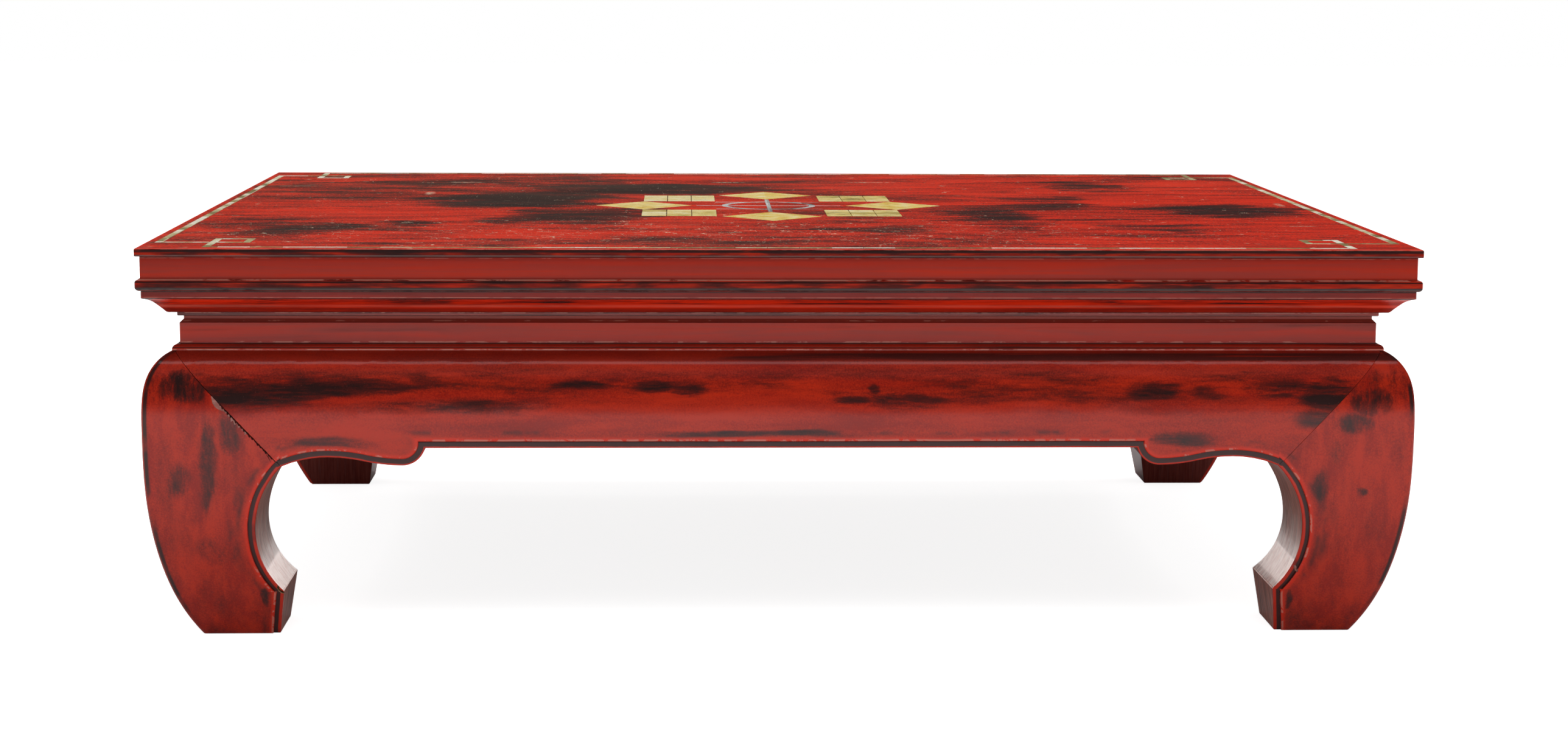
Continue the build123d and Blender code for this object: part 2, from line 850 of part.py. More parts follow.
def inner_edges(piece, corner):
    """The edge between a leg's two inner faces and the ridges of its hoof."""
    side, end = corner.long_side, corner.long_end

    def inside(edge):
        insets, levels, along = extents(edge, side, end)
        low = levels[1] < spandrel_height + near
        both_inner = insets[0] > leg_waist_inset - near and along[0] > leg_waist_inset - near
        ridge = levels[0] > hoof_tip_height - near and levels[1] < hoof_tip_height + near
        return low and (both_inner or ridge) and edge.length > foot_width / 2

    return piece.edges().filter_by(inside)


def foot_edges(piece):
    """The long edges round the underside of a foot."""
    return piece.faces().sort_by(Axis.Z)[0].edges().filter_by(lambda edge: edge.length > foot_width / 2)


def leg(corner):
    """One leg: square-section curve on a hoof foot, mitred head, inner post and top tenons."""
    with BuildPart() as piece:
        with BuildSketch(corner.long_side.section):
            make_face(stand_outline())
        extrude(amount=length, both=True)
        with BuildSketch(corner.short_side.section):
            make_face(stand_outline())
        extrude(amount=length, both=True, mode=Mode.INTERSECT)
        for side, end in corner.ends:
            cut_opening(side)
            split(bisect_by=mitre_plane(side, end, 0), keep=Keep.TOP)
        for side, end in corner.ends:
            cut_lip(side, side.run / 2)
        softened = inner_edges(piece, corner)
        for side, end in corner.ends:
            softened += rim_edges(piece, side, end)
        fillet(softened, lip_radius)
        fillet(outer_arris(piece, corner), leg_arris)
        fillet(foot_edges(piece), foot_radius)
        post = (stand_back + fit, post_inset)
        end_block(corner.long_side, corner.long_end, post, post, (spandrel_height, rail_bottom))
        insets, levels = apron_tongue_limits()
        across, along = leg_tenon_insets()
        for side, end in corner.ends:
            slot = (apron_tongue_depth - fit, spandrel_inset)
            end_block(side, end, grown(insets, fit), slot, grown(levels, fit), Mode.SUBTRACT)
            end_block(side, end, across, along, (stand_height, rail_bottom + leg_tenon_length))
            bore_for_peg(side, end)
    return piece


for side in sides:
    piece = apron(side)
    hand_over(piece, f"apron_{side.name}")

for corner in corners:
    piece = leg(corner)
    hand_over(piece, f"leg_{corner.name}")

with BuildPart() as apron_pegs:
    for corner in corners:
        for side, end in corner.ends:
            peg_plane, peg_run = apron_peg_place(side, end)
            with Locations(peg_plane):
                Cylinder(peg_radius, peg_run)
hand_over(apron_pegs, "apron_pegs")


# ---------------------------------------------------------------- inlay pieces
def drawn_in(shape):
    """A flat shape made smaller by the fit of the inlay in its pocket."""
    with BuildSketch() as smaller:
        add(shape)
        offset(amount=-inlay_fit, kind=Kind.INTERSECTION)
    return smaller.sketch


def lay_in(shape):
    """Fills the current part with one flat shape, flush with the top."""
    with BuildSketch(Plane.XY.offset(height - inlay_thickness)) as outline:
        add(shape)
    extrude(outline.sketch, amount=inlay_thickness)


def open_segment_joints(start, end, first_joint):
    """Opens the joints between the segments of a straight run of the current inlay."""
    start, end = Vector(start), Vector(end)
    heading = (end - start).normalized()
    clear_run = (end - start).length - strip_width
    count = max(1, round(clear_run / segment_length))
    first_place = start + heading * strip_width / 2 + Vector(0, 0, height)
    size_x, size_y = segment_gap, strip_width
    if abs(heading.Y) > abs(heading.X):
        size_x, size_y = size_y, size_x
    for number in range(first_joint, count):
        with Locations(first_place + heading * (clear_run * number / count)):
            Box(size_x, size_y, overrun, mode=Mode.SUBTRACT)


def open_tile_joints(side_x, side_y):
    """Opens the joints between the square tiles of the current block."""
    pitch = tile_size + tile_gap
    middle = Vector(side_x * block_centre_x, side_y * block_centre_y, height)
    for number in range(1, tiles_per_side):
        step = (number - tiles_per_side / 2) * pitch
        with Locations(middle + Vector(step, 0, 0)):
            Box(tile_gap, block_size, overrun, mode=Mode.SUBTRACT)
        with Locations(middle + Vector(0, step, 0)):
            Box(block_size, tile_gap, overrun, mode=Mode.SUBTRACT)


for side in sides:
    line_name = f"inlay_line_{side.name}"
    with BuildPart() as line:
        lay_in(drawn_in(inlays[line_name]))
        open_segment_joints(*line_run(side), 1)
    hand_over(line, line_name)

for name_y, side_y in (("front", -1), ("rear", 1)):
    for name_x, side_x in (("left", -1), ("right", 1)):
        fret_name = f"inlay_fret_{name_y}_{name_x}"
        with BuildPart() as fret:
            lay_in(drawn_in(inlays[fret_name]))
            for start, end in fret_runs(side_x, side_y):
                open_segment_joints(start, end, 0)
        hand_over(fret, fret_name)

        tiles_name = f"inlay_tiles_{name_y}_{name_x}"
        with BuildPart() as tiles:
            lay_in(drawn_in(inlays[tiles_name]))
            open_tile_joints(side_x, side_y)
        hand_over(tiles, tiles_name)

for direction in ("front", "rear", "left", "right"):
    diamond_name = f"inlay_diamond_{direction}"
    with BuildPart() as diamond:
        lay_in(drawn_in(inlays[diamond_name]))
    hand_over(diamond, diamond_name)

with BuildPart() as ring:
    lay_in(drawn_in(inlays["inlay_ring"]))
    with PolarLocations(ring_radius - ring_width / 2, ring_segments):
        with Locations((0, 0, height)):
            Box(2 * ring_width, segment_gap, overrun, mode=Mode.SUBTRACT)
hand_over(ring, "inlay_ring")

with BuildPart() as bars:
    lay_in(bars_shape(inlay_fit))
hand_over(bars, "inlay_bars")
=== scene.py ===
"""Dresses a low waisted table in rubbed red lacquer with shell inlay, in a plain studio.

Metres, +Z up, +X along the table, the front towards -Y, the origin on the floor under its middle.
"Inset" is a distance inwards from the outermost edge of the top, as a tape would give it.
"""

import logging
import math
import random
from dataclasses import dataclass
from enum import Enum
from functools import reduce
from typing import Union

import bpy
from mathutils import Matrix, Vector
from mathutils.bvhtree import BVHTree
from mathutils.interpolate import poly_3d_calc


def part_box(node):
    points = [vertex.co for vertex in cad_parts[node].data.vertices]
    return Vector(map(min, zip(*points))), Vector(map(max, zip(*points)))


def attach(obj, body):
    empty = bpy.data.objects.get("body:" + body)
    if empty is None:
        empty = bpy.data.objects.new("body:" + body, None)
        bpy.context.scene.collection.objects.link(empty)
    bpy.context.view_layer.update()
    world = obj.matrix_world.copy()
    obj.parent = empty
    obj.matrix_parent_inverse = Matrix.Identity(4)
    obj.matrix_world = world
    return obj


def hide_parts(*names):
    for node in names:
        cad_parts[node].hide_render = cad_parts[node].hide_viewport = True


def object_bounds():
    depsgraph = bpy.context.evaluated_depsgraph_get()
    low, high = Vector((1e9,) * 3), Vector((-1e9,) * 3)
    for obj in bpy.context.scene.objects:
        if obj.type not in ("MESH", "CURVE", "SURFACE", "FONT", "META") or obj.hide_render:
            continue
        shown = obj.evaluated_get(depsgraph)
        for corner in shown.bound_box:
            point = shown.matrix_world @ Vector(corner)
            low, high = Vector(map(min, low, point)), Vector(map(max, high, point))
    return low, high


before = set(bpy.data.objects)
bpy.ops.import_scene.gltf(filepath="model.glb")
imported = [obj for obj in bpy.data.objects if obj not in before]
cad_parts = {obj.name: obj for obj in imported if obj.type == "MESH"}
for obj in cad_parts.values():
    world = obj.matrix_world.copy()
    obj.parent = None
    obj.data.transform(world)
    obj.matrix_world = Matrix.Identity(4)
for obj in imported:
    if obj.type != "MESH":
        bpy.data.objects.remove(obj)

CAD_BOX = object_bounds()
MERGE_DISTANCE = 0.000002
HAIRLINE = 0.0006
SAME_PLACE = 0.0001
SAME_FACING = 0.9
log = logging.getLogger("table")

Colour = tuple[float, float, float, float]
Point = tuple[float, float]
Value = Union["Signal", float, tuple[float, ...]]


# ---------------------------------------------------------------- shader arithmetic
class Signal:
    """A shader socket that takes part in Python arithmetic."""

    def __init__(self, graph: "ShaderGraph", socket: bpy.types.NodeSocket) -> None:
        """Wraps one output socket of a graph.

        Args:
            graph: The graph that the socket belongs to.
            socket: The output socket.
        """
        self.graph = graph
        self.socket = socket

    def __add__(self, other: Value) -> "Signal":
        """Sum of two signals."""
        return self.graph.math("ADD", self, other)

    __radd__ = __add__

    def __sub__(self, other: Value) -> "Signal":
        """This signal less another."""
        return self.graph.math("SUBTRACT", self, other)

    def __rsub__(self, other: Value) -> "Signal":
        """Another value less this signal."""
        return self.graph.math("SUBTRACT", other, self)

    def __mul__(self, other: Value) -> "Signal":
        """Product of two signals."""
        return self.graph.math("MULTIPLY", self, other)

    __rmul__ = __mul__

    def __truediv__(self, other: Value) -> "Signal":
        """This signal divided by another."""
        return self.graph.math("DIVIDE", self, other)

    def __abs__(self) -> "Signal":
        """The signal without its sign."""
        return self.graph.math("ABSOLUTE", self)

    def __lt__(self, other: Value) -> "Signal":
        """1 where this signal is the smaller, else 0."""
        return self.graph.math("LESS_THAN", self, other)

    def __gt__(self, other: Value) -> "Signal":
        """1 where this signal is the larger, else 0."""
        return self.graph.math("GREATER_THAN", self, other)

    def at_most(self, other: Value) -> "Signal":
        """The smaller of two signals."""
        return self.graph.math("MINIMUM", self, other)

    def at_least(self, other: Value) -> "Signal":
        """The larger of two signals."""
        return self.graph.math("MAXIMUM", self, other)

    def root(self) -> "Signal":
        """Square root of the signal."""
        return self.graph.math("SQRT", self)

    def fade(self, low: float, high: float) -> "Signal":
        """Smooth step from 0 at low to 1 at high; low may be the larger of the two.

        Args:
            low: Value at which the result is 0.
            high: Value at which the result is 1.

        Returns:
            The smooth step.
        """
        sockets = {0: self, 1: low, 2: high, 3: 0.0, 4: 1.0}
        if low > high:
            sockets = {0: self, 1: high, 2: low, 3: 1.0, 4: 0.0}
        return self.graph.node("ShaderNodeMapRange", {"interpolation_type": "SMOOTHSTEP"}, sockets)

    def near(self, centre: float, reach: float) -> "Signal":
        """A soft peak: 1 at a centre, 0 from a reach away."""
        return abs(self - centre).fade(reach, 0.0)


def strongest(*signals: Signal) -> Signal:
    """The largest of several signals at each place."""
    return reduce(Signal.at_least, signals)


class ShaderGraph:
    """The node tree of a material or of the world, built by expressions."""

    def __init__(self, owner: bpy.types.Material | bpy.types.World) -> None:
        """Starts an empty tree.

        Args:
            owner: The material or world that the tree belongs to.
        """
        self.owner = owner
        owner.use_nodes = True
        self.tree = owner.node_tree
        self.tree.nodes.clear()

    def node(
        self, kind: str, settings: dict | None = None, sockets: dict | None = None, output: int | str = 0
    ) -> Signal:
        """Adds a node, sets it up and feeds its sockets.

        Args:
            kind: Type of the node.
            settings: Properties of the node; stops are those of a colour ramp.
            sockets: Values or signals for its inputs, by index or name.
            output: The output that is wanted.

        Returns:
            The chosen output as a signal.
        """
        made = self.tree.nodes.new(kind)
        for setting, value in (settings or {}).items():
            if setting == "stops":
                self._set_stops(made.color_ramp, value)
            else:
                setattr(made, setting, value)
        for key, value in (sockets or {}).items():
            if isinstance(value, Signal):
                self.tree.links.new(value.socket, made.inputs[key])
            else:
                made.inputs[key].default_value = value
        return Signal(self, made.outputs[output])

    @staticmethod
    def _set_stops(ramp: bpy.types.ColorRamp, stops: tuple) -> None:
        """Puts a colour ramp's stops where they are wanted.

        Args:
            ramp: The ramp.
            stops: Pairs of a position and a colour.
        """
        while len(ramp.elements) < len(stops):
            ramp.elements.new(1.0)
        for element, (position, colour) in zip(ramp.elements, stops):
            element.position = position
            element.color = colour

    def math(self, operation: str, *values: Value) -> Signal:
        """A Math node on one to three values."""
        return self.node("ShaderNodeMath", {"operation": operation}, dict(enumerate(values)))

    def mix(self, factor: Value, first: Value, second: Value) -> Signal:
        """A colour between two colours: the first at factor 0, the second at 1."""
        return self.node("ShaderNodeMix", {"data_type": "RGBA"}, {0: factor, 6: first, 7: second}, 2)

    def choose(self, factor: Value, first: Value, second: Value) -> Signal:
        """A number between two numbers: the first at factor 0, the second at 1."""
        return self.node("ShaderNodeMix", {"data_type": "FLOAT"}, {0: factor, 2: first, 3: second})

    def vector(self, x: Value, y: Value, z: Value) -> Signal:
        """A vector from three numbers."""
        return self.node("ShaderNodeCombineXYZ", None, {0: x, 1: y, 2: z})

    def stretched(self, vector: Signal, scale: tuple[float, float, float]) -> Signal:
        """A vector with each of its parts multiplied."""
        return self.node("ShaderNodeVectorMath", {"operation": "MULTIPLY"}, {0: vector, 1: scale})

    def noise(self, vector: Signal, scale: float, detail: float = 3.0, rough: float = 0.5, warp: float = 0.0) -> Signal:
        """Fractal noise from 0 to 1.

        Args:
            vector: Where the noise is read.
            scale: Its frequency.
            detail: Its octaves.
            rough: Strength of the finer octaves.
            warp: How far it is pulled out of shape.

        Returns:
            The noise.
        """
        sockets = {"Vector": vector, "Scale": scale, "Detail": detail, "Roughness": rough, "Distortion": warp}
        return self.node("ShaderNodeTexNoise", None, sockets)

    def cells(self, vector: Signal, scale: float, output: str = "Distance") -> Signal:
        """Distance to, or random colour of, the nearest scattered point."""
        return self.node("ShaderNodeTexVoronoi", None, {"Vector": vector, "Scale": scale}, output)

    def bump(self, height: Signal, depth: float, under: Signal | None = None) -> Signal:
        """A bumped normal.

        Args:
            height: Height field from 0 to 1.
            depth: Height in metres of a full step.
            under: A normal to build on.

        Returns:
            The normal.
        """
        sockets = {"Height": height, "Distance": depth, "Strength": 1.0}
        if under is not None:
            sockets["Normal"] = under
        return self.node("ShaderNodeBump", None, sockets)

    def finish(self, shader: Signal, output: str = "ShaderNodeOutputMaterial") -> bpy.types.Material:
        """Joins the last shader to the output.

        Args:
            shader: The last shader.
            output: Type of the output node.

        Returns:
            The material or world.
        """
        end = self.tree.nodes.new(output)
        self.tree.links.new(shader.socket, end.inputs["Surface"])
        return self.owner


# ---------------------------------------------------------------- the table's own sizes
def circle_at_crown(crown: Point, foot: Point) -> tuple[Point, float]:
    """Circle that is level at one point and passes through another.

    Args:
        crown: The point where it is level.
        foot: The other point.

    Returns:
        Its centre and radius.
    """
    across, rise = foot[0] - crown[0], foot[1] - crown[1]
    radius = (across**2 + rise**2) / (2 * abs(rise))
    return (crown[0], crown[1] + math.copysign(radius, rise)), radius


def circle_through(first: Point, second: Point, third: Point) -> tuple[Point, float]:
    """Circle through three points.

    Args:
        first: One end.
        second: A point between.
        third: The other end.

    Returns:
        Its centre and radius.
    """
    a, b = Vector(second) - Vector(first), Vector(third) - Vector(first)
    turn = 2 * (a.x * b.y - a.y * b.x)
    x = (b.y * a.length_squared - a.y * b.length_squared) / turn
    y = (a.x * b.length_squared - b.x * a.length_squared) / turn
    return (first[0] + x, first[1] + y), math.hypot(x, y)


@dataclass(frozen=True)
class TableSizes:
    """Half sizes of the top and the height of the stand, read from the parts in model.glb."""

    half_length: float = (CAD_BOX[1][0] - CAD_BOX[0][0]) / 2
    half_depth: float = (CAD_BOX[1][1] - CAD_BOX[0][1]) / 2
    stand_top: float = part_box("apron_front")[1].z


SIZES = TableSizes()


@dataclass(frozen=True)
class OpeningEdge:
    """Outline of the opening between two legs: inset from the neighbouring side, and level."""

    foot: Point = (0.0970, 0.0)
    hoof_tip: Point = (0.1025, 0.0365)
    leg_waist: Point = (0.0836, 0.0860)
    spandrel: Point = (0.1045, 0.1355)
    arch_top: Point = (0.1390, 0.1426)
    sway: Point = (0.1670, 0.13945)
    cusp_low: Point = (0.1950, 0.1363)
    cusp: Point = (0.2120, 0.1495)
    lip: float = 0.0052

    def distance(self, place: "Place") -> Signal:
        """Distance into the wood from the edge of the opening.

        Args:
            place: Where on the table.

        Returns:
            The distance in metres, for points near the edge.
        """
        graph, run, level = place.graph, place.run, place.level
        lean = math.atan2(self.hoof_tip[0] - self.foot[0], self.hoof_tip[1])
        foot = (self.foot[0] + level * math.tan(lean) - run) * math.cos(lean)
        leg = self._from_circle(run, level, *circle_through(self.hoof_tip, self.leg_waist, self.spandrel))
        arch = self._from_circle(run, level, *circle_at_crown(self.arch_top, self.spandrel))
        slope = self._from_circle(run, level, *circle_at_crown(self.arch_top, self.sway))
        low = 0.0 - self._from_circle(run, level, *circle_at_crown(self.cusp_low, self.sway))
        rise = 0.0 - self._from_circle(run, level, *circle_at_crown(self.cusp_low, self.cusp))
        straight = level - self.cusp[1]
        apron = graph.choose(run > self.cusp[0], rise.at_least(straight), straight)
        apron = graph.choose(run > self.cusp_low[0], low, apron)
        apron = graph.choose(run > self.sway[0], slope, apron)
        apron = graph.choose(run > self.arch_top[0], arch, apron)
        upper = graph.choose(run > self.spandrel[0], leg, apron)
        return graph.choose(level > self.hoof_tip[1], foot, upper)

    @staticmethod
    def _from_circle(run: Signal, level: Signal, centre: Point, radius: float) -> Signal:
        """Distance outwards from a circle."""
        across, up = run - centre[0], level - centre[1]
        return (across * across + up * up).root() - radius


class Place:
    """Signals that say where on the table a point lies."""

    def __init__(self, graph: ShaderGraph) -> None:
        """Reads the object's coordinates.

        Args:
            graph: The material's graph.
        """
        self.graph = graph
        self.position = graph.node("ShaderNodeTexCoord", output="Object")
        parts = [graph.node("ShaderNodeSeparateXYZ", None, {0: self.position}, axis) for axis in range(3)]
        self.x, self.y, self.level = parts
        self.side_inset = SIZES.half_length - abs(self.x)
        self.front_inset = SIZES.half_depth - abs(self.y)
        self.depth = self.side_inset.at_most(self.front_inset)
        self.run = self.side_inset.at_least(self.front_inset)

    def on_front(self) -> Signal:
        """1 on the front half's long face, 0 elsewhere."""
        return (self.y < 0.0) * (self.front_inset < self.side_inset)


@dataclass(frozen=True)
class RubMark:
    """A place where the red is rubbed through: middle and half sizes on its face, and strength."""

    across: float
    up: float
    half_width: float
    half_height: float
    strength: float = 1.0

    def amount(self, across: Signal, up: Signal) -> Signal:
        """Strength of the mark at a place, fading to 0 at its rim.

        Args:
            across: First coordinate on the face.
            up: Second coordinate on the face.

        Returns:
            The amount of rubbing.
        """
        x = (across - self.across) / self.half_width
        y = (up - self.up) / self.half_height
        return (x * x + y * y).fade(2.2, 0.0) * self.strength


def rubbed(marks: tuple[RubMark, ...], across: Signal, up: Signal) -> Signal:
    """The strongest of a face's rub marks at each place, by the face's two coordinates."""
    return strongest(*(mark.amount(across, up) for mark in marks))


def rub_marks(*rows: tuple[float, ...]) -> tuple[RubMark, ...]:
    """Makes rub marks, each from its middle, its half sizes and its strength if that isn't 1."""
    return tuple(RubMark(*row) for row in rows)


# ---------------------------------------------------------------- finishes
@dataclass(frozen=True)
class LacquerColours:
    """The layers of the lacquer, from the outer red to the wood, and the stains under it; some also serve as painted
    highlights, painted reflections and painted shade.
    """

    red: Colour = (0.500, 0.0240, 0.0055, 1.0)
    bright: Colour = (0.680, 0.0230, 0.0040, 1.0)
    deep: Colour = (0.290, 0.0110, 0.0045, 1.0)
    dull: Colour = (0.320, 0.0320, 0.0210, 1.0)
    dark: Colour = (0.110, 0.0095, 0.0060, 1.0)
    black: Colour = (0.020, 0.0095, 0.0088, 1.0)
    ground: Colour = (0.560, 0.205, 0.150, 1.0)
    cream: Colour = (0.800, 0.680, 0.480, 1.0)
    wood: Colour = (0.210, 0.115, 0.070, 1.0)
    inner: Colour = (0.600, 0.165, 0.100, 1.0)
    shadow: Colour = (0.120, 0.0085, 0.0050, 1.0)
    # Pale dust on the inner faces, which also stands for a painted reflection of the pale surroundings
    dust_and_sheen: Colour = (0.880, 0.700, 0.640, 1.0)
    # Grey for the painted reflection of the floor on the bands' rounded lower edges
    painted_reflection: Colour = (0.105, 0.062, 0.055, 1.0)
    neck: Colour = (0.200, 0.045, 0.032, 1.0)
    hidden: Colour = (0.060, 0.022, 0.015, 1.0)
    sole: Colour = (0.060, 0.028, 0.018, 1.0)
    stain_deep: Colour = (0.050, 0.020, 0.013, 1.0)
    stain_pale: Colour = (0.105, 0.030, 0.018, 1.0)
    wood_deep: Colour = (0.100, 0.055, 0.035, 1.0)


LAYERS = LacquerColours()


@dataclass(frozen=True)
class Gloss:
    """How a lacquer shines, and the depths in metres of its relief."""

    specular: float = 0.15
    coat_roughness: float = 0.07
    grit: float = 0.000015
    wave: float = 0.00015
    scratch: float = 0.00012


class Finish(ShaderGraph):
    """A material in the making, with the places on the table where it is read."""

    def __init__(self, name: str) -> None:
        """Starts a material of this name."""
        super().__init__(bpy.data.materials.new(name))
        self.place = Place(self)

    def principled(self, sockets: dict) -> bpy.types.Material:
        """Closes the material with a Principled shader that is fed these values."""
        return self.finish(self.node("ShaderNodeBsdfPrincipled", None, sockets))


class Lacquer(Finish):
    """A lacquer in the making: red over dark layers, rubbed through, nicked and scratched."""

    gloss: Gloss = Gloss()

    def __init__(self, name: str) -> None:
        """Starts a lacquer of this name."""
        super().__init__(name)
        self.millimetres = self.place.level * 1000.0

    def cloud(self, waves: tuple[float, float, float], detail: float = 4.0, rough: float = 0.55) -> Signal:
        """Noise about zero.

        Args:
            waves: Frequencies along X, Y and Z, per metre.
            detail: Octaves.
            rough: Strength of the finer octaves.

        Returns:
            The noise, mostly between -0.25 and 0.25.
        """
        return self.noise(self.stretched(self.place.position, waves), 1.0, detail, rough, 0.3) - 0.5

    def band(self, low: float, high: float, soft: float = 0.18) -> Signal:
        """1 between two levels in millimetres, with soft edges."""
        return self.millimetres.fade(low - soft, low + soft) * self.millimetres.fade(high + soft, high - soft)

    def line(self, level: float, start: float, end: float, soft: float = 0.18) -> Signal:
        """1 between two distances above a level, all in millimetres, with soft edges."""
        return self.band(level + start, level + end, soft)

    def layers(self, rubbing: Signal, red: Signal, dark: Point = (-0.06, 0.24), black: Point = (0.08, 0.46)) -> Signal:
        """Colour at each degree of rubbing: red, then dark red, then black.

        Args:
            rubbing: The degree of rubbing.
            red: Colour of the unrubbed red.
            dark: Degrees at which the dark red starts and is full.
            black: Degrees at which the black starts and is full.

        Returns:
            The colour.
        """
        colour = self.mix(rubbing.fade(*dark) * 0.88, red, LAYERS.dark)
        return self.mix(rubbing.fade(*black) * 0.95, colour, LAYERS.black)

    def specks(self, waves: float, size: float, share: float) -> Signal:
        """Small scattered specks.

        Args:
            waves: How close they may lie, per metre.
            size: Radius as a share of their spacing.
            share: Share of the places that have one.

        Returns:
            Their mask.
        """
        distance = self.cells(self.place.position, waves)
        chance = self.cells(self.place.position, waves, "Color")
        chance = self.node("ShaderNodeSeparateXYZ", None, {0: chance})
        return distance.fade(size, size * 0.5) * (chance > 1.0 - share)

    def polish(self, colour: Signal, rough: Value, coat: Value, relief: Signal | None = None) -> bpy.types.Material:
        """Adds gloss and fine relief and closes the material.

        Args:
            colour: The colour all over.
            rough: The roughness.
            coat: Weight of the clear coat.
            relief: Height field of scratches or grain, 0 to 1.

        Returns:
            The material.
        """
        normal = self.bump(self.noise(self.place.position, 24.0, 2.0), self.gloss.wave)
        normal = self.bump(self.noise(self.place.position, 1500.0, 2.0), self.gloss.grit, normal)
        if relief is not None:
            normal = self.bump(relief, self.gloss.scratch, normal)
        sockets = {
            "Base Color": colour,
            "Roughness": rough,
            "Specular IOR Level": self.gloss.specular,
            "Coat Weight": coat,
            "Coat Roughness": self.gloss.coat_roughness,
            "Normal": normal,
        }
        return self.principled(sockets)


class TopLacquer(Lacquer):
    """Finish of boards and rails: rubbed top, dark bands, dull frieze and bare underside.

    Levels are in millimetres above the floor.
    """

    gloss: Gloss = Gloss(specular=0.08, grit=0.00003)
    arris: float = 300.0
    frieze_top: float = 293.7
    frieze_bottom: float = 276.5
    rail_bottom: float = 267.9
    underside_inset: Point = (0.0075, 0.0065)
    marks: tuple[RubMark, ...] = rub_marks(
        (-0.220, 0.057, 0.070, 0.080, 1.1),
        (-0.165, -0.120, 0.060, 0.110, 0.8),
        (-0.115, 0.190, 0.110, 0.055, 1.0),
        (-0.350, 0.200, 0.120, 0.075, 0.45),
        (-0.386, -0.245, 0.045, 0.050, 0.75),
        (-0.420, -0.180, 0.055, 0.060, 0.5),
        (-0.304, -0.220, 0.030, 0.040, 0.55),
        (-0.040, 0.260, 0.120, 0.050, 0.35),
        (0.305, 0.208, 0.030, 0.070, 0.7),
        (0.254, 0.032, 0.040, 0.060, 0.7),
        (0.393, -0.050, 0.060, 0.055, 0.85),
        (0.197, -0.120, 0.035, 0.110, 0.65),
        (0.309, -0.215, 0.045, 0.032, 0.7),
        (0.088, -0.232, 0.030, 0.025, 0.5),
        (-0.120, -0.330, 0.110, 0.040, 0.42),
    )
    worn_front: RubMark = RubMark(-0.08, -0.26, 0.36, 0.11)
    scuffs: tuple[RubMark, ...] = rub_marks(
        (-0.438, 0.2105, 0.020, 0.0016, 0.6),
        (-0.283, 0.2625, 0.014, 0.0040, 0.8),
        (-0.306, 0.1300, 0.004, 0.0160, 0.6),
        (-0.031, 0.2660, 0.014, 0.0030, 0.8),
        (0.106, 0.2700, 0.020, 0.0030, 0.8),
        (0.415, 0.3350, 0.012, 0.0040, 0.9),
        (0.453, 0.0150, 0.003, 0.0160, 0.5),
        (0.427, -0.1940, 0.012, 0.0022, 0.5),
    )

    def build(self) -> bpy.types.Material:
        """Builds the finish.

        Returns:
            The material.
        """
        on_top = self.millimetres.fade(self.arris - 0.75, self.arris - 0.15)
        outer = self.place.depth.fade(*self.underside_inset)
        bare = (1.0 - outer) * (1.0 - on_top)
        colour = self.mix(outer, self._bare_underside(), self._moulded_edge())
        colour = self.mix(on_top, colour, self._upper_face())
        rough = self.choose(on_top, 0.20 + bare * 0.45, 0.34)
        dim = strongest(
            self.band(self.frieze_top + 1.5, self.arris + 1.0, 0.4) * 0.44,
            self.band(self.rail_bottom + 2.8, self.frieze_bottom, 0.4) * 0.44,
            self.band(self.frieze_bottom, self.frieze_top) * 0.30,
        )
        coat = (1.0 - on_top) * outer * (0.5 - dim)
        scratches = self.noise(self.stretched(self.place.position, (60.0, 700.0, 60.0)), 1.0, 3.0)
        return self.polish(colour, rough, coat, scratches)

    def _upper_face(self) -> Signal:
        """Colour of the upper face.

        Returns:
            The colour.
        """
        place = self.place
        x = place.x + self.cloud((11.0, 17.0, 1.0)) * 0.16
        y = place.y + self.cloud((13.0, 21.0, 1.0), 3.0) * 0.10
        broad = self.cloud((4.2, 9.0, 1.0), 3.0)
        fine = self.cloud((12.0, 46.0, 1.0), 6.0, 0.70)
        grit = self.cloud((620.0, 620.0, 1.0), 2.0)
        rubbing = broad * 0.85 + fine * 1.25 + grit * 0.60 - 0.085
        rubbing = rubbing + rubbed(self.marks, x, y) * 0.44 + place.x.fade(0.36, 0.02) * 0.085
        rubbing = rubbing + place.y.fade(0.0, 0.34) * 0.06
        tint = self.cloud((9.0, 60.0, 1.0), 5.0, 0.65) + grit * 0.7
        colour = self.layers(rubbing, self.mix(tint.fade(-0.10, 0.18), LAYERS.bright, LAYERS.deep))
        # Painted haze: a pale cream veil over the top, stronger to the left and towards the back
        veil = place.x.fade(0.30, -0.10) * 0.030 + place.y.fade(-0.1, 0.3) * 0.022 + 0.008
        colour = self.mix((self.cloud((7.0, 30.0, 1.0)) + 0.5) * veil, colour, LAYERS.cream)

        worn = self.worn_front.amount(x, y)
        patchy = self.cloud((16.0, 16.0, 1.0), 3.0)
        dots = self.specks(430.0, 0.17, 0.40) * (patchy + worn * 0.35 + 0.13).fade(0.0, 0.24)
        curls = abs(self.cloud((46.0, 46.0, 1.0), 2.0)).fade(0.0065, 0.0030)
        curls = curls * (self.cloud((85.0, 85.0, 1.0), 1.0) + worn * 0.16).fade(0.12, 0.20)
        scuffs = rubbed(self.scuffs, place.x, place.y) * (self.cloud((240.0, 240.0, 1.0)) + 0.5).fade(0.35, 0.62)
        pale = strongest(dots, self.specks(75.0, 0.060, 0.22), curls * 0.8, scuffs)
        colour = self.mix(pale * 0.85, colour, LAYERS.cream)
        rim = place.depth.fade(0.0042, 0.0012)
        return self.mix(rim * 0.7, colour, LAYERS.bright)

